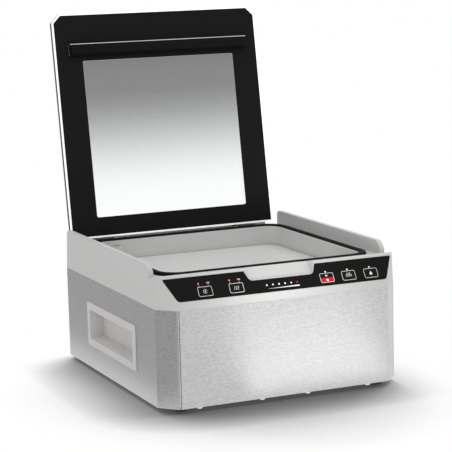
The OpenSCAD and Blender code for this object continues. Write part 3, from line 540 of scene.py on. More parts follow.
@dataclass(frozen=True)
class CoatedCloth(Finish):
    """Coated glass-cloth tape with a plain weave."""

    name: str = "coated glass cloth"
    slot: str = "tape_brown"
    colour: Colour = (0.34, 0.21, 0.1)
    threads: float = 4200.0

    def sockets(self, g: Graph) -> dict:
        """Two crossed sets of threads under a slick coating."""
        parts = g.node("ShaderNodeSeparateXYZ", {}, {0: g.stretched((self.threads,) * 3)})
        warp, weft = (
            g.node("ShaderNodeMath", {"operation": "SINE"}, {0: parts.out(axis)}) for axis in (0, 1)
        )
        weave = warp * weft * 0.5 + 0.5
        return {
            "Base Color": g.tone(self.colour, 0.2, weave),
            "Roughness": 0.34 + weave * 0.12,
            "Normal": g.bump(weave, 0.00006, 0.6),
        }


# ------------------------------------------------------------------- shapes


@dataclass(frozen=True)
class Axes:
    """A local origin and its three directions, in the frame."""

    origin: np.ndarray
    across: np.ndarray
    up: np.ndarray
    out_of: np.ndarray

    def out(self, points: np.ndarray) -> np.ndarray:
        """Frame point = origin + x times across + y times up + z times the outward normal."""
        return self.origin + points @ np.stack([self.across, self.up, self.out_of])


@dataclass(frozen=True)
class Shape:
    """Points and faces of one closed surface or of several."""

    points: np.ndarray
    faces: list[list[int]]

    @staticmethod
    def joined(shapes: Sequence[Shape]) -> Shape:
        """Puts shapes together in one, each face's indices moved on.

        Args:
            shapes: What is joined.

        Returns:
            The one shape.
        """
        starts = np.cumsum([0] + [len(s.points) for s in shapes[:-1]]).tolist()
        faces = [[i + start for i in f] for s, start in zip(shapes, starts) for f in s.faces]
        return Shape(np.vstack([s.points for s in shapes]), faces)

    def moved(self, x: float, y: float) -> Shape:
        """The shape moved in its own plane."""
        return Shape(self.points + (x, y, 0.0), self.faces)

    def placed(self, axes: Axes) -> Shape:
        """The shape carried from a local set of axes into the frame."""
        return Shape(axes.out(self.points), self.faces)

    def dressed(self, name: str, material: bpy.types.Material) -> bpy.types.Object:
        """Puts the shape into the scene, at the origin.

        Args:
            name: The object's name.
            material: What its faces get.

        Returns:
            The object.
        """
        mesh = bpy.data.meshes.new(name)
        mesh.from_pydata(self.points.tolist(), [], self.faces)
        mesh.materials.append(material)
        made = bpy.data.objects.new(name, mesh)
        bpy.context.scene.collection.objects.link(made)
        return made


def loft(rings: np.ndarray, closed: bool = False) -> Shape:
    """Surface through a stack of rings.

    Point (i, j) is ring i at its step j; each ring closes on itself. An open
    stack gets a fan of triangles about the mean point of each end ring, and a
    closed stack joins its last ring to its first.

    Args:
        rings: Array (k, n, 3), each ring anticlockwise seen from the far end.
        closed: Whether the stack is a loop.

    Returns:
        The closed surface, its faces outwards.
    """
    k, n, _ = rings.shape
    index = np.arange(k * n).reshape(k, n)
    following = np.roll(index, -1, axis=1)
    last = k if closed else k - 1
    quads = [index[:last], following[:last]]
    quads += [np.roll(following, -1, axis=0)[:last], np.roll(index, -1, axis=0)[:last]]
    faces = np.stack(quads, -1).reshape(-1, 4).tolist()
    points = rings.reshape(-1, 3)
    if not closed:
        points = np.vstack([points, rings[0].mean(0), rings[-1].mean(0)])
        faces += np.column_stack([np.full(n, k * n), following[0], index[0]]).tolist()
        faces += np.column_stack([np.full(n, k * n + 1), index[-1], following[-1]]).tolist()
    return Shape(points, faces)


def round_box(w: float, h: float, r: float, per_corner: int = 8) -> np.ndarray:
    """Outline of a rounded rectangle about the origin, anticlockwise.

    Each point is a corner's centre plus the radius times the cosine and sine
    of an angle that runs through that corner's quarter turn.

    Args:
        w: Width in x.
        h: Height in y.
        r: Corner radius.
        per_corner: Points on each corner.

    Returns:
        Array (4 * per_corner, 2).
    """
    quarter = np.arange(4)[:, None]
    angle = (quarter + np.linspace(0, 1, per_corner)[None, :]) * (math.pi / 2)
    sx = np.where((quarter == 0) | (quarter == 3), 1.0, -1.0)
    sy = np.where(quarter < 2, 1.0, -1.0)
    x = sx * (w / 2 - r) + r * np.cos(angle)
    y = sy * (h / 2 - r) + r * np.sin(angle)
    return np.stack([x, y], -1).reshape(-1, 2)


def radial(outline: np.ndarray, angles: np.ndarray) -> np.ndarray:
    """Points of a convex outline about the origin at given angles.

    Along a direction the outline is met at the least of the distances to the
    lines of its edges, each the line's offset over the cosine to its normal.

    Args:
        outline: Corners, anticlockwise.
        angles: Angles of the wanted points.

    Returns:
        Array (len(angles), 2).
    """
    tiny = 1e-12
    edge = np.roll(outline, -1, axis=0) - outline
    normal = np.column_stack([edge[:, 1], -edge[:, 0]])
    offset = (normal * outline).sum(1)
    aim = np.column_stack([np.cos(angles), np.sin(angles)])
    facing = aim @ normal.T
    reach = np.where(facing > tiny, offset / np.maximum(facing, tiny), np.inf).min(1)
    return aim * reach[:, None]


def disc(r: float, n: int = 24) -> np.ndarray:
    """Outline of a circle: radius times cosine and sine of n even angles."""
    angle = np.arange(n) * (2 * math.pi / n)
    return r * np.stack([np.cos(angle), np.sin(angle)], -1)


def raised(flat: np.ndarray, z: float) -> np.ndarray:
    """Points of a flat outline at one height."""
    return np.column_stack([flat, np.full(len(flat), z)])


def slab(outline: np.ndarray, low: float, high: float) -> Shape:
    """Flat piece: an outline lifted from one height to another."""
    return loft(np.stack([raised(outline, z) for z in (low, high)]))


def band(outer: np.ndarray, inner: np.ndarray, low: float, high: float) -> Shape:
    """Flat ring between two outlines: a rectangle of two heights carried round them."""
    rows = ((outer, low), (outer, high), (inner, high), (inner, low))
    return loft(np.stack([raised(flat, z) for flat, z in rows]), closed=True)


def stroke(path: np.ndarray, width: float, low: float, high: float) -> Shape:
    """Thin flat line of one width along an open path.

    Each side's outline is the path moved by half the width along its normal,
    which is the path's direction turned by a right angle.

    Args:
        path: Points (n, 2).
        width: Line width.
        low: Bottom height.
        high: Top height.

    Returns:
        The closed strip.
    """
    along = np.gradient(path, axis=0)
    along /= np.linalg.norm(along, axis=1, keepdims=True)
    side = np.column_stack([-along[:, 1], along[:, 0]]) * width / 2
    corners = [(path - side, low), (path - side, high), (path + side, high), (path + side, low)]
    return loft(np.stack([raised(p, z) for p, z in corners], axis=1)[::-1])


def eased_bar(length: float, wide: float, low: float, high: float, r: float) -> Shape:
    """Bar along x with a rounded cross-section and eased ends.

    A rounded rectangle in y and z is carried along x through ten stations; the
    end stations are drawn in by the radius, so the ends are eased too.

    Args:
        length: Whole length.
        wide: Width in y.
        low: Bottom height.
        high: Top height.
        r: Edge radius.

    Returns:
        The closed bar.
    """
    steps = np.linspace(0, math.pi / 2, 5)
    from_end = r * (1 - np.sin(steps))
    stations = np.sort(np.concatenate([from_end - length / 2, length / 2 - from_end[::-1]]))
    draw_in = np.concatenate([r * (1 - np.cos(steps[::-1])), r * (1 - np.cos(steps))])
    rings = []
    for x, d in zip(stations, draw_in):
        section = round_box(wide - 2 * d, high - low - 2 * d, max(r - d, 0.2 * r), 6)
        section += (0.0, (low + high) / 2)
        rings.append(np.column_stack([np.full(len(section), x), section]))
    return loft(np.stack(rings))


def lathe(profile: Sequence[Pair], n: int = 28, wobble: Callable | None = None) -> Shape:
    """Turned piece: radius and height of the profile carried round the z axis.

    Point (i, j) is (r_i cos a_j, r_i sin a_j, z_i), with an optional height
    added as a function of radius and angle.

    Args:
        profile: (radius, height) pairs from the bottom to the top.
        n: Steps round the axis.
        wobble: Height to add, from arrays of radius, angle and row.

    Returns:
        The closed piece.
    """
    p = np.asarray(profile, float)
    angle = np.arange(n) * (2 * math.pi / n)
    r, z = p[:, :1] * np.ones(n), p[:, 1:] * np.ones(n)
    if wobble is not None:
        z = z + wobble(r, angle[None, :] * np.ones_like(r), np.arange(len(p))[:, None])
    return loft(np.stack([r * np.cos(angle), r * np.sin(angle), z], -1))


# ----------------------------------------------------------------- workshop


class Workshop:
    """Builds each finish once and dresses pieces and frame nodes with it."""

    def __init__(self) -> None:
        """Starts with no finish built."""
        self.made: dict[str, bpy.types.Material] = {}

    def material(self, finish: Finish) -> bpy.types.Material:
        """Gives the material of a finish, built the first time it is asked for.

        Args:
            finish: The finish.

        Returns:
            Its material.
        """
        if finish.name not in self.made:
            self.made[finish.name] = finish.build()
        return self.made[finish.name]

    def node(self, finish: Finish, *nodes: str) -> None:
        """Gives frame nodes their finish through their material slots.

        Args:
            finish: What they are made of.
            nodes: Their names.
        """
        for name in nodes:
            for slot in frame["nodes"][name].material_slots:
                slot.material = self.material(finish)
            LOG.info("node %s: %s", name, finish.name)

    def piece(
        self,
        name: str,
        shape: Shape,
        finish: Finish,
        body: str,
        replaces: Sequence[str] = (),
        sharp: float = 40.0,
    ) -> None:
        """Makes a new piece, dresses it and sets it on its body.

        Args:
            name: The object's name.
            shape: Its mesh, in the frame's metres.
            finish: What it is made of.
            body: The body that it rides on.
            replaces: Frame nodes that it stands for.
            sharp: Edges that turn by more degrees than this stay sharp.
        """
        made = shape.dressed(name, self.material(finish))
        mesh = made.data
        mesh.validate()
        mesh.polygons.foreach_set("use_smooth", np.ones(len(mesh.polygons), dtype=bool))
        mesh.set_sharp_from_angle(angle=math.radians(sharp))
        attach(made, body)
        if replaces:
            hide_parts(*replaces)
        LOG.info("piece %s: %d faces, on %s", name, len(mesh.polygons), body)


def joint(name: str) -> dict:
    """The frame's joint of that name."""
    return next(j for j in frame["joints"] if j["name"] == name)


# ------------------------------------------------------------- sub-assemblies


@dataclass
class Assembly:
    """A sub-assembly, built in a workshop; some are drawn on axes of their own.

    Dress holds each finish with the frame nodes that get it.
    """

    shop: Workshop
    axes: Axes = field(init=False)
    dress: Dress = ()

    def lay(self, name: str, shape: Shape, finish: Finish, body: str, **more: object) -> None:
        """Adds a shape that is drawn on the assembly's own axes as a piece."""
        self.shop.piece(name, shape.placed(self.axes), finish, body, **more)

    def add(self) -> None:
        """Adds the pieces that the frame doesn't have; some assemblies have none."""

    def build(self) -> None:
        """Dresses the frame's nodes, then adds the assembly's own pieces."""
        for finish, *nodes in self.dress:
            self.shop.node(finish, *nodes)
        self.add()


@dataclass
class Cabinet(Assembly):
    """Steel sheets, feet and screws."""

    head: float = 8 * MM
    head_high: float = 2.4 * MM
    base_head_high: float = 3 * MM
    shank: float = 2 * MM
    shank_long: float = 8 * MM
    cross_arm: float = 0.75 * MM
    cross_reach: float = 2.4 * MM
    cross_deep: float = 1.3 * MM
    screw: BareMetal = BareMetal("plated screw", "screw_steel", (0.72, 0.72, 0.71), 0.24)
    dress: Dress = (
        (
            BrushedSteel("brushed stainless sheet"),
            "side_left", "side_right", "front_panel", "back_panel", "pump_bracket",
        ),
        (BrushedSteel("brushed base sheet", grain=Grain.ALONG_X, roughness=0.42), "base_plate"),
        (Rubber("foot rubber", "rubber_black", grey(0.014)), "feet", "pump_mounts"),
        (screw, "foot_screws", "board_standoffs"),
    )

    def add(self) -> None:
        """Turns every visible screw."""
        self.screws("base_screws", np.array([0.0, 0.0, -1.0]), self.base_head_high)
        self.screws("back_screws", np.array([0.0, 1.0, 0.0]), self.head_high)

    def screws(self, node: str, out_of: np.ndarray, high: float) -> None:
        """Turned screws with a cross recess in place of a node's plain ones.

        The head is a domed profile carried round its axis; the recess lowers
        it where either cross arm, a band about x or y, passes.

        Args:
            node: The frame node that they stand for.
            out_of: Direction that the heads face.
            high: Height of a head over the sheet.
        """
        r, dome = self.head / 2, 0.6 * high
        turn = np.linspace(0, math.pi / 2, 6)
        rim = [(r - dome * (1 - math.cos(a)), high - dome * (1 - math.sin(a))) for a in turn]
        top = [(f * MM, high) for f in (2.5, 2.35, 2.0, 1.6, 1.2, 0.8, 0.4, 0.15)]
        profile = [(self.shank, -self.shank_long), (self.shank, 0.0), (r, 0.0), *rim, *top]
        first_top = len(profile) - len(top)

        def recess(radius: np.ndarray, angle: np.ndarray, row: np.ndarray) -> np.ndarray:
            """Depth = -deep (1 - (radius / reach)^4) for the top rows inside the cross.

            Args:
                radius: Each point's distance from the axis.
                angle: Its angle.
                row: Its place in the profile.

            Returns:
                Height to add.
            """
            x, y = np.abs(radius * np.cos(angle)), np.abs(radius * np.sin(angle))
            inside = (np.minimum(x, y) < self.cross_arm) & (radius < self.cross_reach)
            depth = -self.cross_deep * (1 - (radius / self.cross_reach) ** 4)
            return np.where(inside & (row >= first_top), depth, 0.0)

        screw = lathe(profile, 32, recess)
        up = np.cross(out_of, RIGHT)
        heads = [
            screw.placed(Axes(seat, RIGHT, up, out_of)) for seat in self.seats(node, out_of, high)
        ]
        self.shop.piece(f"{node}_turned", Shape.joined(heads), self.screw, "base", [node], 50)

    def seats(self, node: str, out_of: np.ndarray, high: float) -> list[np.ndarray]:
        """Where a node's screws sit on their sheet, from the outer faces of their heads.

        Args:
            node: The frame node.
            out_of: Direction that the heads face.
            high: Height of a head over the sheet.

        Returns:
            Centre of each screw on the sheet.
        """
        mesh = frame["nodes"][node].data
        points = np.empty(3 * len(mesh.vertices))
        mesh.vertices.foreach_get("co", points)
        points = points.reshape(-1, 3)
        height = points @ out_of
        tops = points[height > height.max() - 0.02 * MM]
        seats: list[np.ndarray] = []
        while len(tops):
            near = np.linalg.norm(tops - tops[0], axis=1) < 2 * self.head
            group = tops[near]
            seats.append((group.min(0) + group.max(0)) / 2 - out_of * high)
            tops = tops[~near]
        return seats


@dataclass
class Housing(Assembly):
    """Moulded top with its handles and hinge hardware."""

    dress: Dress = (
        (Moulded("light grey moulding", "housing_grey", (0.565, 0.565, 0.562)), "upper_housing"),
        (
            Moulded("warm grey moulding", "handle_grey", (0.6, 0.585, 0.58), 0.45),
            "handle_left", "handle_right",
        ),
        (Paint("black satin paint", "arm_black", grey(0.014)), "hinge_arms"),
        (BareMetal("ground pin steel", "pin_steel", grey(0.7), 0.18), "hinge_pins"),
    )


WHITE_INK = Film("white ink", "lens_white", (0.74, 0.74, 0.73), 0.45, 0.3, 0.03)


class Icon(Enum):
    """What a key is for."""

    VACUUM = "key_vacuum"
    SEALING = "key_sealing"
    START = "key_start"
    SEAL = "key_seal"
    MARINATE = "key_marinate"


@dataclass
class ControlPanel(Assembly):
    """Overlay, keys, lamps and their marks on the sloping front.

    Places on the slope are x from the middle and s up from the slope's foot.
    """

    edge_low: float = 0.8 * MM
    overlay_top: float = 0.1 * MM
    overlay_t: float = 0.5 * MM
    key_top: float = 0.5 * MM
    key_w: float = 21 * MM
    key_h: float = 14 * MM
    key_r: float = 2.4 * MM
    key_s: float = 11.9 * MM
    key_gap: float = 0.2 * MM
    line: float = 0.62 * MM
    mark_line: float = 0.55 * MM
    ink: float = 0.04 * MM
    sunk: float = 0.01 * MM
    lamp_d: float = 2.18 * MM
    lamp_deep: float = 12.4 * MM
    lamp_dome: float = 0.45 * MM
    lamp_s: float = 20.8 * MM
    lamp_shift: float = 0.2 * MM
    levels_x: tuple[float, ...] = (-122 * MM, -108 * MM, -76.7 * MM, -63 * MM)
    levels: tuple[int, ...] = (1, 2, 1, 2)
    level_step: float = 2.2 * MM
    level_up: float = 3.1 * MM
    progress_s: float = 11 * MM
    progress_x: float = -24.5 * MM
    progress_step: float = 9.1 * MM
    progress_end: float = 21 * MM
    red_ink: Film = Film("red ink", "key_red", (0.56, 0.012, 0.035), 0.4, 0.2, 0.05)
    white_lens: Lens = Lens("clear lamp lens", "lens_white", grey(0.92), 0.35)
    red_lens: Lens = Lens("red lamp lens", "lens_red", (0.62, 0.012, 0.035), 0.25)
    dress: Dress = (
        (
            Film("black overlay film", "overlay_black", (0.0055, 0.0055, 0.0053), shine=0.08),
            "control_overlay",
        ),
        (
            Film("black key film", "key_black", (0.006, 0.006, 0.0058), 0.3, 0.09),
            *(icon.value for icon in Icon),
        ),
        (Board(), "control_board", "power_board"),
        (
            Moulded("switch moulding", "valve_black", (0.03, 0.03, 0.032)),
            "tact_switches", "solenoid_valves",
        ),
    )

    def __post_init__(self) -> None:
        """Finds the slope from a key's stroke and the overlay's lowest edge."""
        out_of = -np.array(joint("key_start_press")["axis"], float)
        out_of /= np.linalg.norm(out_of)
        up = np.array([0.0, out_of[2], -out_of[1]])
        low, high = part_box("control_overlay")
        run = (high.z - low.z - self.overlay_t * out_of[2]) / up[2]
        y = low.y - self.edge_low * up[1] - self.overlay_top * out_of[1]
        z = high.z - (self.edge_low + run) * up[2] - self.overlay_top * out_of[2]
        self.axes = Axes(np.array([0.0, y, z]), RIGHT, up, out_of)

    def key_x(self, icon: Icon) -> float:
        """Middle of a key in x, from its node."""
        low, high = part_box(icon.value)
        return (low.x + high.x) / 2

    def inked(self, top: float) -> Pair:
        """Bottom and top of a print on a surface: a little sunk, and an ink's depth proud."""
        return top - self.sunk, top + self.ink

    def icon(self, icon: Icon) -> Shape:
        """Plain line mark of a key, drawn in millimetres about its middle.

        Args:
            icon: Which key.

        Returns:
            The mark as one shape, in its place on the slope.
        """
        low, high = self.inked(self.key_top)
        t = self.mark_line
        if icon is Icon.VACUUM:
            turn = np.linspace(0.2, 1.8 * math.pi, 25)
            ring = np.column_stack([np.cos(turn), np.sin(turn)]) * 2.6 * MM
            marks = [stroke(ring, t, low, high), slab(disc(0.9 * MM), low, high)]
        elif icon is Icon.SEALING:
            rise = np.linspace(-1, 1, 25)
            wave = np.column_stack([0.7 * np.sin(rise * math.pi), rise * 2.6]) * MM
            marks = [stroke(wave, t, low, high).moved(x * MM, 0.0) for x in (-2.6, 0.0, 2.6)]
        elif icon is Icon.START:
            play = np.array([[-1.5, -1.7], [2.0, 0.0], [-1.5, 1.7]]) * MM
            stop = round_box(3.2 * MM, 3.2 * MM, 0.3 * MM, 3)
            marks = [
                slab(play, low, high).moved(0.0, 3.1 * MM),
                slab(stop, low, high + self.ink).moved(0.0, -3.4 * MM),
            ]
        elif icon is Icon.SEAL:
            bar, tick = ((9.2 * MM, 0.7 * MM), (0.7 * MM, 2 * MM))
            places = [(bar, 0.0, -1.0), (bar, 0.0, 1.0)]
            places += [(tick, x, 3.0) for x in (-2.1, 0.0, 2.1)]
            marks = [
                slab(round_box(*size, 0.3 * MM, 3), low, high).moved(x * MM, y * MM)
                for size, x, y in places
            ]
        else:
            turn = np.linspace(0, 2 * math.pi, 32, endpoint=False)
            sine = np.sin(turn)
            wide = 2.3 * np.cos(turn) * np.where(sine > 0, 1 - sine * 0.98, 1.0)
            drop = np.column_stack([wide, np.where(sine > 0, 3.9, 2.3) * sine - 0.6]) * MM
            marks = [slab(drop, low, high)]
        return Shape.joined(marks).moved(self.key_x(icon), self.key_s)

    def keys(self) -> None:
        """Printed line round each key, its mark, and the red half of the start key."""
        low, high = self.inked(self.key_top)
        inset = 2 * self.line + self.key_gap
        outer = round_box(self.key_w - self.key_gap, self.key_h - self.key_gap, self.key_r)
        inner = round_box(self.key_w - inset, self.key_h - inset, self.key_r - self.line)
        for icon in Icon:
            ring = band(outer, inner, low, high).moved(self.key_x(icon), self.key_s)
            self.lay(f"{icon.value}_line", ring, WHITE_INK, icon.value)
            self.lay(f"{icon.value}_mark", self.icon(icon), WHITE_INK, icon.value)
        tall = self.key_h / 2 - self.line
        half = round_box(self.key_w - inset, tall, 0.3 * MM)
        half[half[:, 1] < 0] = inner[inner[:, 1] < 0] + (0.0, tall / 2)
        red = slab(half, low, high - self.sunk)
        red = red.moved(self.key_x(Icon.START), self.key_s - tall / 2)
        self.lay("key_start_red_half", red, self.red_ink, "key_start")

    def lamps(self) -> None:
        """Domed light pipes in place of the plain ones, and the marks beside them."""
        r = self.lamp_d / 2
        dome = np.linspace(0, math.pi / 2, 7)[:-1]
        top = [(r * math.cos(a), self.overlay_top + self.lamp_dome * math.sin(a)) for a in dome]
        pipe = lathe([(r, -self.lamp_deep), *top], 20)
        keys = [self.key_x(i) - self.lamp_shift for i in (Icon.START, Icon.SEAL, Icon.MARINATE)]
        steps = [self.progress_x + self.progress_step * i for i in range(5)]
        white = [(x, self.lamp_s) for x in keys] + [(x, self.progress_s) for x in steps]
        red = [(x, self.lamp_s) for x in self.levels_x] + [(self.progress_end, self.progress_s)]
        for name, places, finish in (
            ("white_lenses", white, self.white_lens),
            ("red_lenses", red, self.red_lens),
        ):
            pipes = Shape.joined([pipe.moved(*place) for place in places])
            self.lay(f"{name}_domed", pipes, finish, "base", replaces=[name], sharp=60)
        low, high = self.inked(self.overlay_top)
        block = slab(round_box(1.5 * MM, 1.6 * MM, 0.2 * MM, 3), low, high)
        blocks = [
            block.moved(x + (k - (count - 1) / 2) * self.level_step, self.lamp_s + self.level_up)
            for x, count in zip(self.levels_x, self.levels)
            for k in range(count)
        ]
        self.lay("level_marks", Shape.joined(blocks), WHITE_INK, "base")
        wedge = np.array([[-23.0, -5.45], [23.3, -6.0], [23.3, -3.9], [-23.0, -5.3]]) * MM
        mark = slab(wedge, low, high).moved(0.0, self.progress_s)
        self.lay("progress_wedge", mark, WHITE_INK, "base")

    def add(self) -> None:
        """Prints and lights the panel."""
        self.keys()
        self.lamps()


@dataclass
class Chamber(Assembly):
    """Tub, gasket, plates, seal bar and suction tower."""

    dress: Dress = (
        (Paint("light grey tub paint", "tub_grey", (0.62, 0.62, 0.615), 0.4, 0.3), "chamber_tub"),
        (Rubber("gasket rubber", "gasket_black", grey(0.006), 0.6, 0.06), "lid_gasket"),
        (
            Moulded("filler plate", "filler_white", (0.62, 0.62, 0.615), 0.5),
            "filler_plate_lower", "filler_plate_upper",
        ),
        (Moulded("tower moulding", "tower_grey", grey(0.58), 0.35), "suction_tower"),
        (Moulded("strainer moulding", "strainer_dark", grey(0.05)), "tower_strainer"),
        (Moulded("bar laminate", "bar_dark", (0.045, 0.04, 0.035), 0.5), "seal_bar"),
        (
            BareMetal("turned aluminium", "lift_metal", (0.62, 0.62, 0.64), 0.3),
            "lift_cylinders", "lift_pistons",
        ),
        (BareMetal("heating alloy", "heating_alloy", (0.6, 0.5, 0.36), 0.28), "heating_strip"),
        (CoatedCloth(), "seal_tape"),
    )


@dataclass
class Lid(Assembly):
    """Glass lid with its printed border, painted reflection band and pressure pad.

    Its axes run across, from the hinge to the free edge, and out of the
    glass's inner face.
    """

    window_w: float = 248 * MM
    window_l: float = 238 * MM
    window_r: float = 3 * MM
    window_rear: float = 37.5 * MM
    reflection_gap: float = 0.4 * MM
    reflection_z: Pair = (0.02 * MM, 0.12 * MM)
    reflection_reach: Pair = (0.1, 0.87)
    inner_face: float = 8.8 * MM
    pad_at: float = 290.3 * MM
    pad_l: float = 290 * MM
    pad_w: float = 22 * MM
    pad_h: float = 12 * MM
    pad_proud: float = 3 * MM
    pad_sunk: float = 2 * MM
    pad_short: float = 3 * MM
    pad_narrow: float = 5 * MM
    pad_r: float = 1.2 * MM
    rail_w: float = 18.6 * MM
    rail_foot: float = 0.3 * MM
    rail_r: float = 0.9 * MM
    highlight_w: float = 1.1 * MM
    highlight_low: float = 0.7 * MM
    highlight_high: float = 0.1 * MM
    highlight_r: float = 0.25 * MM
    highlight_over: float = 0.05 * MM
    bracket_in: float = 1 * MM
    bracket_foot: float = 0.7 * MM
    bracket_reach: float = 5.5 * MM
    bracket_thin: float = 0.8
    bracket_out: float = 0.2 * MM
    half_w: float = 168 * MM
    rear_edge: float = 6.7 * MM
    free_edge: float = 348.3 * MM
    corner_cut: float = 13 * MM
    bevel_w: float = 3.3 * MM
    bevel_deep: float = 1.6 * MM
    print_over: float = 0.6 * MM
    print_t: float = 0.25 * MM
    print_in: float = 0.2 * MM
    fused: float = 0.08 * MM
    skin_foot: float = 0.01 * MM
    ground_skin: float = 0.08 * MM
    ground_in: float = 0.1 * MM
    rim_skin: float = 0.09 * MM
    rim_in: float = 0.3 * MM
    # Pale ground edge of the glass with an even glow: painted light on the bevel.
    ground: Lens = Lens("glowing ground glass edge", "lid_glass", (0.9, 0.91, 0.91), 0.5)
    border: Film = Film("black ceramic print", "border_black", grey(0.012), 0.4, 0.03)
    holder: Moulded = Moulded("black satin extrusion", "holder_black", grey(0.004), 0.4, 0.06, 0.1)
    # Bright metal strip on the rail's top and ends: a painted highlight of the channel's edges.
    bright: BareMetal = BareMetal("painted highlight metal", "pin_steel", grey(0.75), 0.35)
    pad: Rubber = Rubber("pad silicone", "pad_black", grey(0.006), 0.6, 0.08)
    dress: Dress = ((ClearGlass(), "lid_glass"),)

    def __post_init__(self) -> None:
        """Sets the open lid's own axes from its hinge."""
        hinge = joint("lid_hinge")
        turn = math.radians(hinge["range_deg"][1])
        reach = np.array([0.0, -math.cos(turn), math.sin(turn)])
        inner = np.array([0.0, -math.sin(turn), -math.cos(turn)])
        pivot = np.array(hinge["pos_m"], float)
        self.axes = Axes(pivot - inner * self.inner_face, RIGHT, reach, inner)

    def add(self) -> None:
        """Adds the prints, the painted reflection band, the ground edge with its painted glow, and
        the pad with its painted highlight edge.
        """
        self.printed_border()
        self.shade()
        self.edges()
        self.rail()

    def shade(self) -> None:
        """Thin sheet in the window that carries the painted reflection band."""
        sides = (self.window_w - self.reflection_gap, self.window_l - self.reflection_gap)
        sheet = slab(round_box(*sides, self.window_r), *self.reflection_z)
        sheet = sheet.moved(0.0, self.window_rear + self.window_l / 2)
        heights = sheet.placed(self.axes).points[:, 2]
        low, tall = heights.min(), heights.max() - heights.min()
        reach = (low + share * tall for share in self.reflection_reach)
        # Grey of the painted reflection, which fades out from the window's top downwards.
        reflection_band = PaintedReflectionBand("painted reflection band", "lid_glass", grey(0.32), *reach)
        self.lay("window_painted_reflection", sheet, reflection_band, "lid")

    def printed_border(self) -> None:
        """Black print fused to the glass: its outer face lies just inside the glass's skin.

        Both outlines are taken at the same angles about the window's middle, so
        that a band of quads joins them.
        """
        middle = np.array([0.0, self.window_rear + self.window_l / 2])
        window = round_box(self.window_w, self.window_l, self.window_r)
        outer = self.outline(self.bevel_w + self.print_in) - middle
        corners = np.vstack([window, outer])
        angles = np.unique(np.round(np.arctan2(corners[:, 1], corners[:, 0]), 6))
        ring = band(radial(outer, angles), radial(window, angles), -self.fused, self.print_t)
        self.lay("lid_print", ring.moved(*middle), self.border, "lid", replaces=["lid_border"])

    def outline(self, inset: float) -> np.ndarray:
        """Glass outline in x and distance from the hinge.

        Args:
            inset: How far it is drawn in from the glass's edge.

        Returns:
            Its six corners, anticlockwise.
        """
        w, rear, free = self.half_w - inset, self.rear_edge + inset, self.free_edge - inset
        cut = self.corner_cut - inset * (2 - math.sqrt(2))
        right = [[w, rear], [w, free - cut], [w - cut, free]]
        return np.array([[-w, rear], *right, [-w + cut, free], [-w, free - cut]])

    def bevel_ring(self, inner: float, outer: float, skin: float) -> Shape:
        """Thin skin on the glass's bevel between two insets.

        The bevel's depth grows in step with the distance from the bevel's
        inner edge, and the skin stands off it by a fixed height.

        Args:
            inner: Inset of the skin's inner edge.
            outer: Inset of its outer edge.
            skin: Height off the bevel.

        Returns:
            The closed ring.
        """
        slope, low = self.bevel_deep / self.bevel_w, self.skin_foot
        rows = ((outer, low), (outer, skin), (inner, skin), (inner, low))
        rings = [
            raised(self.outline(inset), lift - slope * max(self.bevel_w - inset, 0.0))
            for inset, lift in rows
        ]
        return loft(np.stack(rings), closed=True)

    def edges(self) -> None:
        """Ground bevel round the glass, pale with a painted glow, and the print that runs a little
        way onto it.
        """
        seam = self.bevel_w - self.print_over
        ground = self.bevel_ring(seam, self.ground_in, self.ground_skin)
        self.lay("lid_ground_edge_glow", ground, self.ground, "lid")
        over = self.bevel_ring(self.bevel_w + self.rim_in, seam, self.rim_skin)
        self.lay("lid_border_rim", over, self.border, "lid")

    def rail(self) -> None:
        """Channel that holds the pad, with a thin bright metal strip along its top and round its
        ends: a painted highlight on the channel's edges.
        """
        top = self.pad_at + self.pad_w / 2
        middle = top - self.rail_w / 2
        deep = self.pad_h - self.pad_proud
        channel = eased_bar(self.pad_l, self.rail_w, self.rail_foot, deep, self.rail_r)
        channel = channel.moved(0.0, middle)
        self.lay("pad_rail", channel, self.holder, "lid", replaces=["pad_holder"])
        sides = (self.pad_l - self.pad_short, self.rail_w - self.pad_narrow)
        pad = eased_bar(*sides, deep - self.pad_sunk, self.pad_h, self.pad_r).moved(0.0, middle)
        self.lay("pad_strip", pad, self.pad, "lid", replaces=["pressure_pad"])
        heights = (deep - self.highlight_low, deep + self.highlight_high)
        lip = eased_bar(self.pad_l, self.highlight_w, *heights, self.highlight_r)
        lip = lip.moved(0.0, top - self.highlight_w / 2 + self.highlight_over)
        ends = [self.end_highlight(side, middle) for side in (-1, 1)]
        self.lay("rail_painted_highlight", Shape.joined([lip, *ends]), self.bright, "lid")

    def end_highlight(self, side: int, middle: float) -> Shape:
        """Square bracket of bright metal on one end of the rail: a painted highlight on the
        channel's end.

        A line of one width is carried along three sides of a rectangle in y
        and z, and given a small thickness in x.

        Args:
            side: -1 for the left end, 1 for the right.
            middle: The rail's middle, from the hinge.

        Returns:
            The bracket.
        """
        half, w = self.rail_w / 2 - self.bracket_in, self.highlight_w * self.bracket_thin
        foot, reach = self.bracket_foot, self.bracket_reach
        outside = [[-half, reach], [-half, foot], [half, foot], [half, reach]]
        inside = [[half - w, reach], [half - w, foot + w], [-half + w, foot + w]]
        outline = np.array([*outside, *inside, [-half + w, reach]]) + (middle, 0.0)
        face = side * self.pad_l / 2
        rings = np.stack([
            np.column_stack([np.full(8, x), outline])
            for x in sorted((face - self.highlight_over * side, face + self.bracket_out * side))
        ])
        step = np.arange(8)
        quads = np.column_stack([step, (step + 1) % 8, 8 + (step + 1) % 8, 8 + step]).tolist()
        caps = np.array([[0, 7, 6, 1], [1, 6, 5, 2], [2, 5, 4, 3]])
        return Shape(rings.reshape(-1, 3), quads + caps.tolist() + (8 + caps[:, ::-1]).tolist())


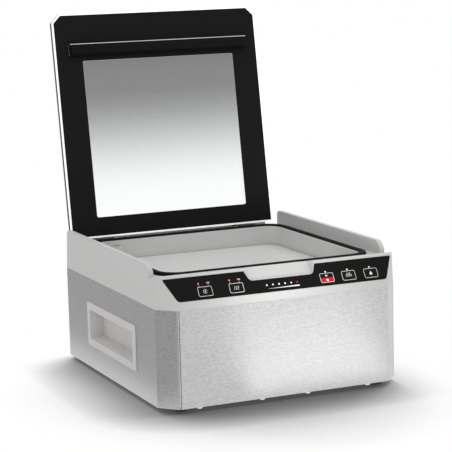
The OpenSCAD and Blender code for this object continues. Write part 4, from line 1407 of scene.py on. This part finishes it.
@dataclass
class Machinery(Assembly):
    """Pump, transformer, boards, valves and what shows at the back."""

    rocker_out: float = 6.4 * MM
    rocker_mid: float = 4.2 * MM
    rocker_half: float = 11 * MM
    rocker_turn: float = 7.0
    mark_t: float = 0.06 * MM
    dress: Dress = (
        (Paint("dark motor enamel", "motor_dark", (0.09, 0.09, 0.1)), "pump_motor"),
        (
            BareMetal(
                "die-cast metal", "pump_metal", (0.52, 0.52, 0.53), 0.42, grain=500.0, depth=0.00005
            ),
            "pump_heads",
        ),
        (Rubber("hose rubber", "hose_black", grey(0.025)), "suction_hose"),
        (Winding(), "transformer"),
        (Moulded("blue moulding", "sensor_blue", (0.05, 0.15, 0.35), 0.3), "pressure_sensor"),
        (Moulded("fan moulding", "fan_black", grey(0.026), 0.4), "fan_frame", "fan_rotor"),
        (
            Moulded("socket moulding", "socket_black", grey(0.018), 0.4),
            "power_inlet", "switch_frame",
        ),
        (BareMetal("plated blade", "contact_metal", (0.75, 0.7, 0.55), 0.25), "inlet_pins"),
        (
            Moulded(
                "red rocker moulding", "rocker_red", (0.5, 0.025, 0.025), 0.25, 0.5, depth=0.00001
            ),
            "rocker",
        ),
    )

    def add(self) -> None:
        """White bar and ring, the plain on and off signs, on the rocker's two faces.

        The faces meet in a shallow V that is turned about x with the rocker:
        each has its own axes, from the V's bottom out along the slope.
        """
        low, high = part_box("rocker")
        pivot = np.array([(low.x + high.x) / 2, *joint("rocker_tilt")["pos_m"][1:]])
        turn = math.radians(-self.rocker_turn)
        back = np.array([0.0, math.cos(turn), math.sin(turn)])
        up = np.array([0.0, -math.sin(turn), math.cos(turn)])
        rise = (self.rocker_out - self.rocker_mid) / self.rocker_half
        bar = slab(round_box(1.0 * MM, 5 * MM, 0.3 * MM, 3), 0.0, self.mark_t)
        ring = band(disc(2.5 * MM), disc(1.7 * MM), 0.0, self.mark_t)
        shapes = []
        for side, mark in ((1, bar), (-1, ring)):
            along = up * side + back * rise
            middle = pivot + back * self.rocker_mid + along * self.rocker_half / 2
            along /= np.linalg.norm(along)
            across = -RIGHT * side
            shapes.append(mark.placed(Axes(middle, across, along, np.cross(across, along))))
        self.shop.piece("rocker_marks", Shape.joined(shapes), WHITE_INK, "rocker")


# ------------------------------------------------------------------- studio


@dataclass
class Studio:
    """Camera, plain floor, world and soft lamps.

    The wide and near shadows of the floor are each a direction that the light
    comes from, a reach in metres and a depth.
    """

    azimuth: float = -23.77
    elevation: float = 9.28
    roll: float = -1.45
    distance: float = 2.54108
    sensor: float = 36.0
    focal: float = 36 * 1764.38 / 452
    target: Triple = (-0.00089, -0.03708, 0.21399)
    lighting: float = 0.86
    wide: tuple[Triple, float, float] = ((0.213, 0.899, 0.381), 0.286, 1.55)
    near: tuple[Triple, float, float] = ((0.595, 0.696, 0.402), 0.098, 1.32)
    glow: float = 1.36
    seen_share: float = 0.97
    floor_half: float = 9.0
    clip: Pair = (0.05, 60.0)
    lamps: tuple[tuple, ...] = (
        ("top softbox", (0.5, 0.5, 2.2), (0.0, 0.0, 0.1), (1.8, 1.8), 12.0, 180.0),
        ("lip lamp", (-0.34, -0.92, 0.1), (0.0, -0.2276, 0.163), (0.1, 0.05), 0.05, 20.0),
    )
    cards: tuple[tuple, ...] = (
        ("left card", (-0.222, 0.35, 0.3), (0.0, 0.95, 0.0), (0.0, 0.0, 0.3), 0.53),
        ("floor card", (0.16, -0.5, 0.002), (0.112, 0.0, 0.0), (0.08, -0.22, 0.0), 1.95),
    )

    def camera(self) -> None:
        """Aims the camera: back along azimuth and elevation, then rolled about its axis."""
        a, e, r = (math.radians(v) for v in (self.azimuth, self.elevation, self.roll))
        back = Vector((math.sin(a) * math.cos(e), -math.cos(a) * math.cos(e), math.sin(e)))
        right = Vector((math.cos(a), math.sin(a), 0.0))
        up = back.cross(right)
        across = right * math.cos(r) + up * math.sin(r)
        upright = up * math.cos(r) - right * math.sin(r)
        data = bpy.data.cameras.new("camera")
        data.sensor_width = self.sensor
        data.lens = self.focal
        data.clip_start, data.clip_end = self.clip
        eye = bpy.data.objects.new("camera", data)
        turn = Matrix((across, upright, back)).transposed().to_4x4()
        eye.matrix_world = Matrix.Translation(Vector(self.target) + back * self.distance) @ turn
        bpy.context.scene.collection.objects.link(eye)
        bpy.context.scene.camera = eye

    def sheet(self, name: str, corners: np.ndarray, material: bpy.types.ID) -> bpy.types.Object:
        """Flat stage piece from four corners.

        Args:
            name: Its name.
            corners: Array (4, 3).
            material: What it gets.

        Returns:
            The object.
        """
        made = Shape(corners, [[0, 1, 2, 3]]).dressed(name, material)
        return made

    def open_sky(self, graph: Graph, lean: Triple, reach: float, depth: float) -> Signal:
        """Share of a leaning hemisphere that nothing covers.

        Args:
            graph: The floor's tree.
            lean: Direction that the hemisphere leans in.
            reach: How far off a cover counts.
            depth: Power that deepens the shade.

        Returns:
            The share.
        """
        towards = graph.node("ShaderNodeCombineXYZ", {}, dict(enumerate(lean)))
        sockets = {"Distance": reach, "Normal": towards}
        cover = graph.node("ShaderNodeAmbientOcclusion", {"samples": 16}, sockets)
        return cover.out("AO") ** depth

    def floor(self) -> None:
        """White floor; where it is seen, it darkens by how much the object covers it.

        Two shares of the sky are measured, each leaning towards the light: a
        wide one for the broad shadow and a near one for the line of contact.
        In mirrors and glass the floor is plain white.
        """
        g = Graph("studio floor")
        path = g.node("ShaderNodeLightPath")
        white = g.tone(grey(0.95), 0.01, g.noise(6.0))
        shade = self.open_sky(g, *self.wide) * self.open_sky(g, *self.near) * self.glow
        eye = path.out("Is Camera Ray")
        level = 1 - (1 - shade) * eye
        glow = g.glowing(g.blend(level, (0.0, 0.0, 0.0), (1.0, 1.0, 1.0)), 1.0)
        lit = g.principled({"Base Color": white, "Roughness": 0.9, "Specular IOR Level": 0.0})
        seen = eye + path.out("Is Glossy Ray") + path.out("Is Transmission Ray")
        sockets = {0: seen * self.seen_share, 1: lit, 2: glow}
        shader = g.node("ShaderNodeMixShader", {}, sockets)
        corners = np.array([[-1, -1, 0], [1, -1, 0], [1, 1, 0], [-1, 1, 0]]) * self.floor_half
        self.sheet("floor", corners, g.finish(shader))

    def card(self, name: str, at: Triple, side: Triple, tall: Triple, level: float) -> None:
        """Plain flat reflector that only shows in reflections.

        Args:
            name: The card's name.
            at: Its middle.
            side: From its middle to the middle of one edge.
            tall: From its middle to the middle of the next edge.
            level: How bright it is, 1 for white.
        """
        g = Graph(name)
        right, up = np.array(side), np.array(tall)
        corners = np.stack([-right - up, right - up, right + up, up - right]) + at
        made = self.sheet(name, corners, g.finish(g.glowing((1.0, 1.0, 1.0, 1.0), level)))
        for rays in ("camera", "diffuse", "transmission", "shadow"):
            setattr(made, f"visible_{rays}", False)

    def world(self) -> None:
        """Even light: white where it is seen or mirrored, softer where it only lights."""
        g = Graph("studio", "worlds")
        path = g.node("ShaderNodeLightPath")
        clear = path.out("Is Camera Ray").or_larger(path.out("Is Glossy Ray"))
        clear = clear.or_larger(path.out("Is Transmission Ray"))
        level = clear * (1 - self.lighting) + self.lighting
        sockets = {"Color": (1.0, 1.0, 1.0, 1.0), "Strength": level}
        sky = g.node("ShaderNodeBackground", {}, sockets)
        bpy.context.scene.world = g.finish(sky, "ShaderNodeOutputWorld")

    def lamp(
        self, name: str, at: Triple, to: Triple, size: Pair, power: float, spread: float
    ) -> None:
        """Soft rectangular lamp aimed at a point, neither seen nor mirrored.

        Args:
            name: The lamp's name.
            at: Where it hangs.
            to: What it points at.
            size: Width and height in metres.
            power: Watts.
            spread: Angle of its beam in degrees.
        """
        data = bpy.data.lights.new(name, "AREA")
        data.shape = "RECTANGLE"
        data.size, data.size_y = size
        data.energy = power
        data.spread = math.radians(spread)
        made = bpy.data.objects.new(name, data)
        made.location = at
        made.rotation_mode = "QUATERNION"
        made.rotation_quaternion = (Vector(to) - Vector(at)).to_track_quat("-Z", "Y")
        made.visible_camera = False
        made.visible_glossy = False
        bpy.context.scene.collection.objects.link(made)

    def build(self) -> None:
        """Sets up the whole studio."""
        self.camera()
        self.floor()
        self.world()
        for lamp in self.lamps:
            self.lamp(*lamp)
        for card in self.cards:
            self.card(*card)
        view = bpy.context.scene.view_settings
        view.view_transform = "Standard"


def main() -> None:
    """Builds each sub-assembly in order, then the studio."""
    logging.basicConfig(level=logging.INFO, format="%(name)s: %(message)s")
    shop = Workshop()
    for part in (Cabinet, Housing, ControlPanel, Chamber, Lid, Machinery):
        LOG.info("building %s", part.__name__)
        part(shop).build()
    Studio().build()


if __name__ == "__main__":
    main()
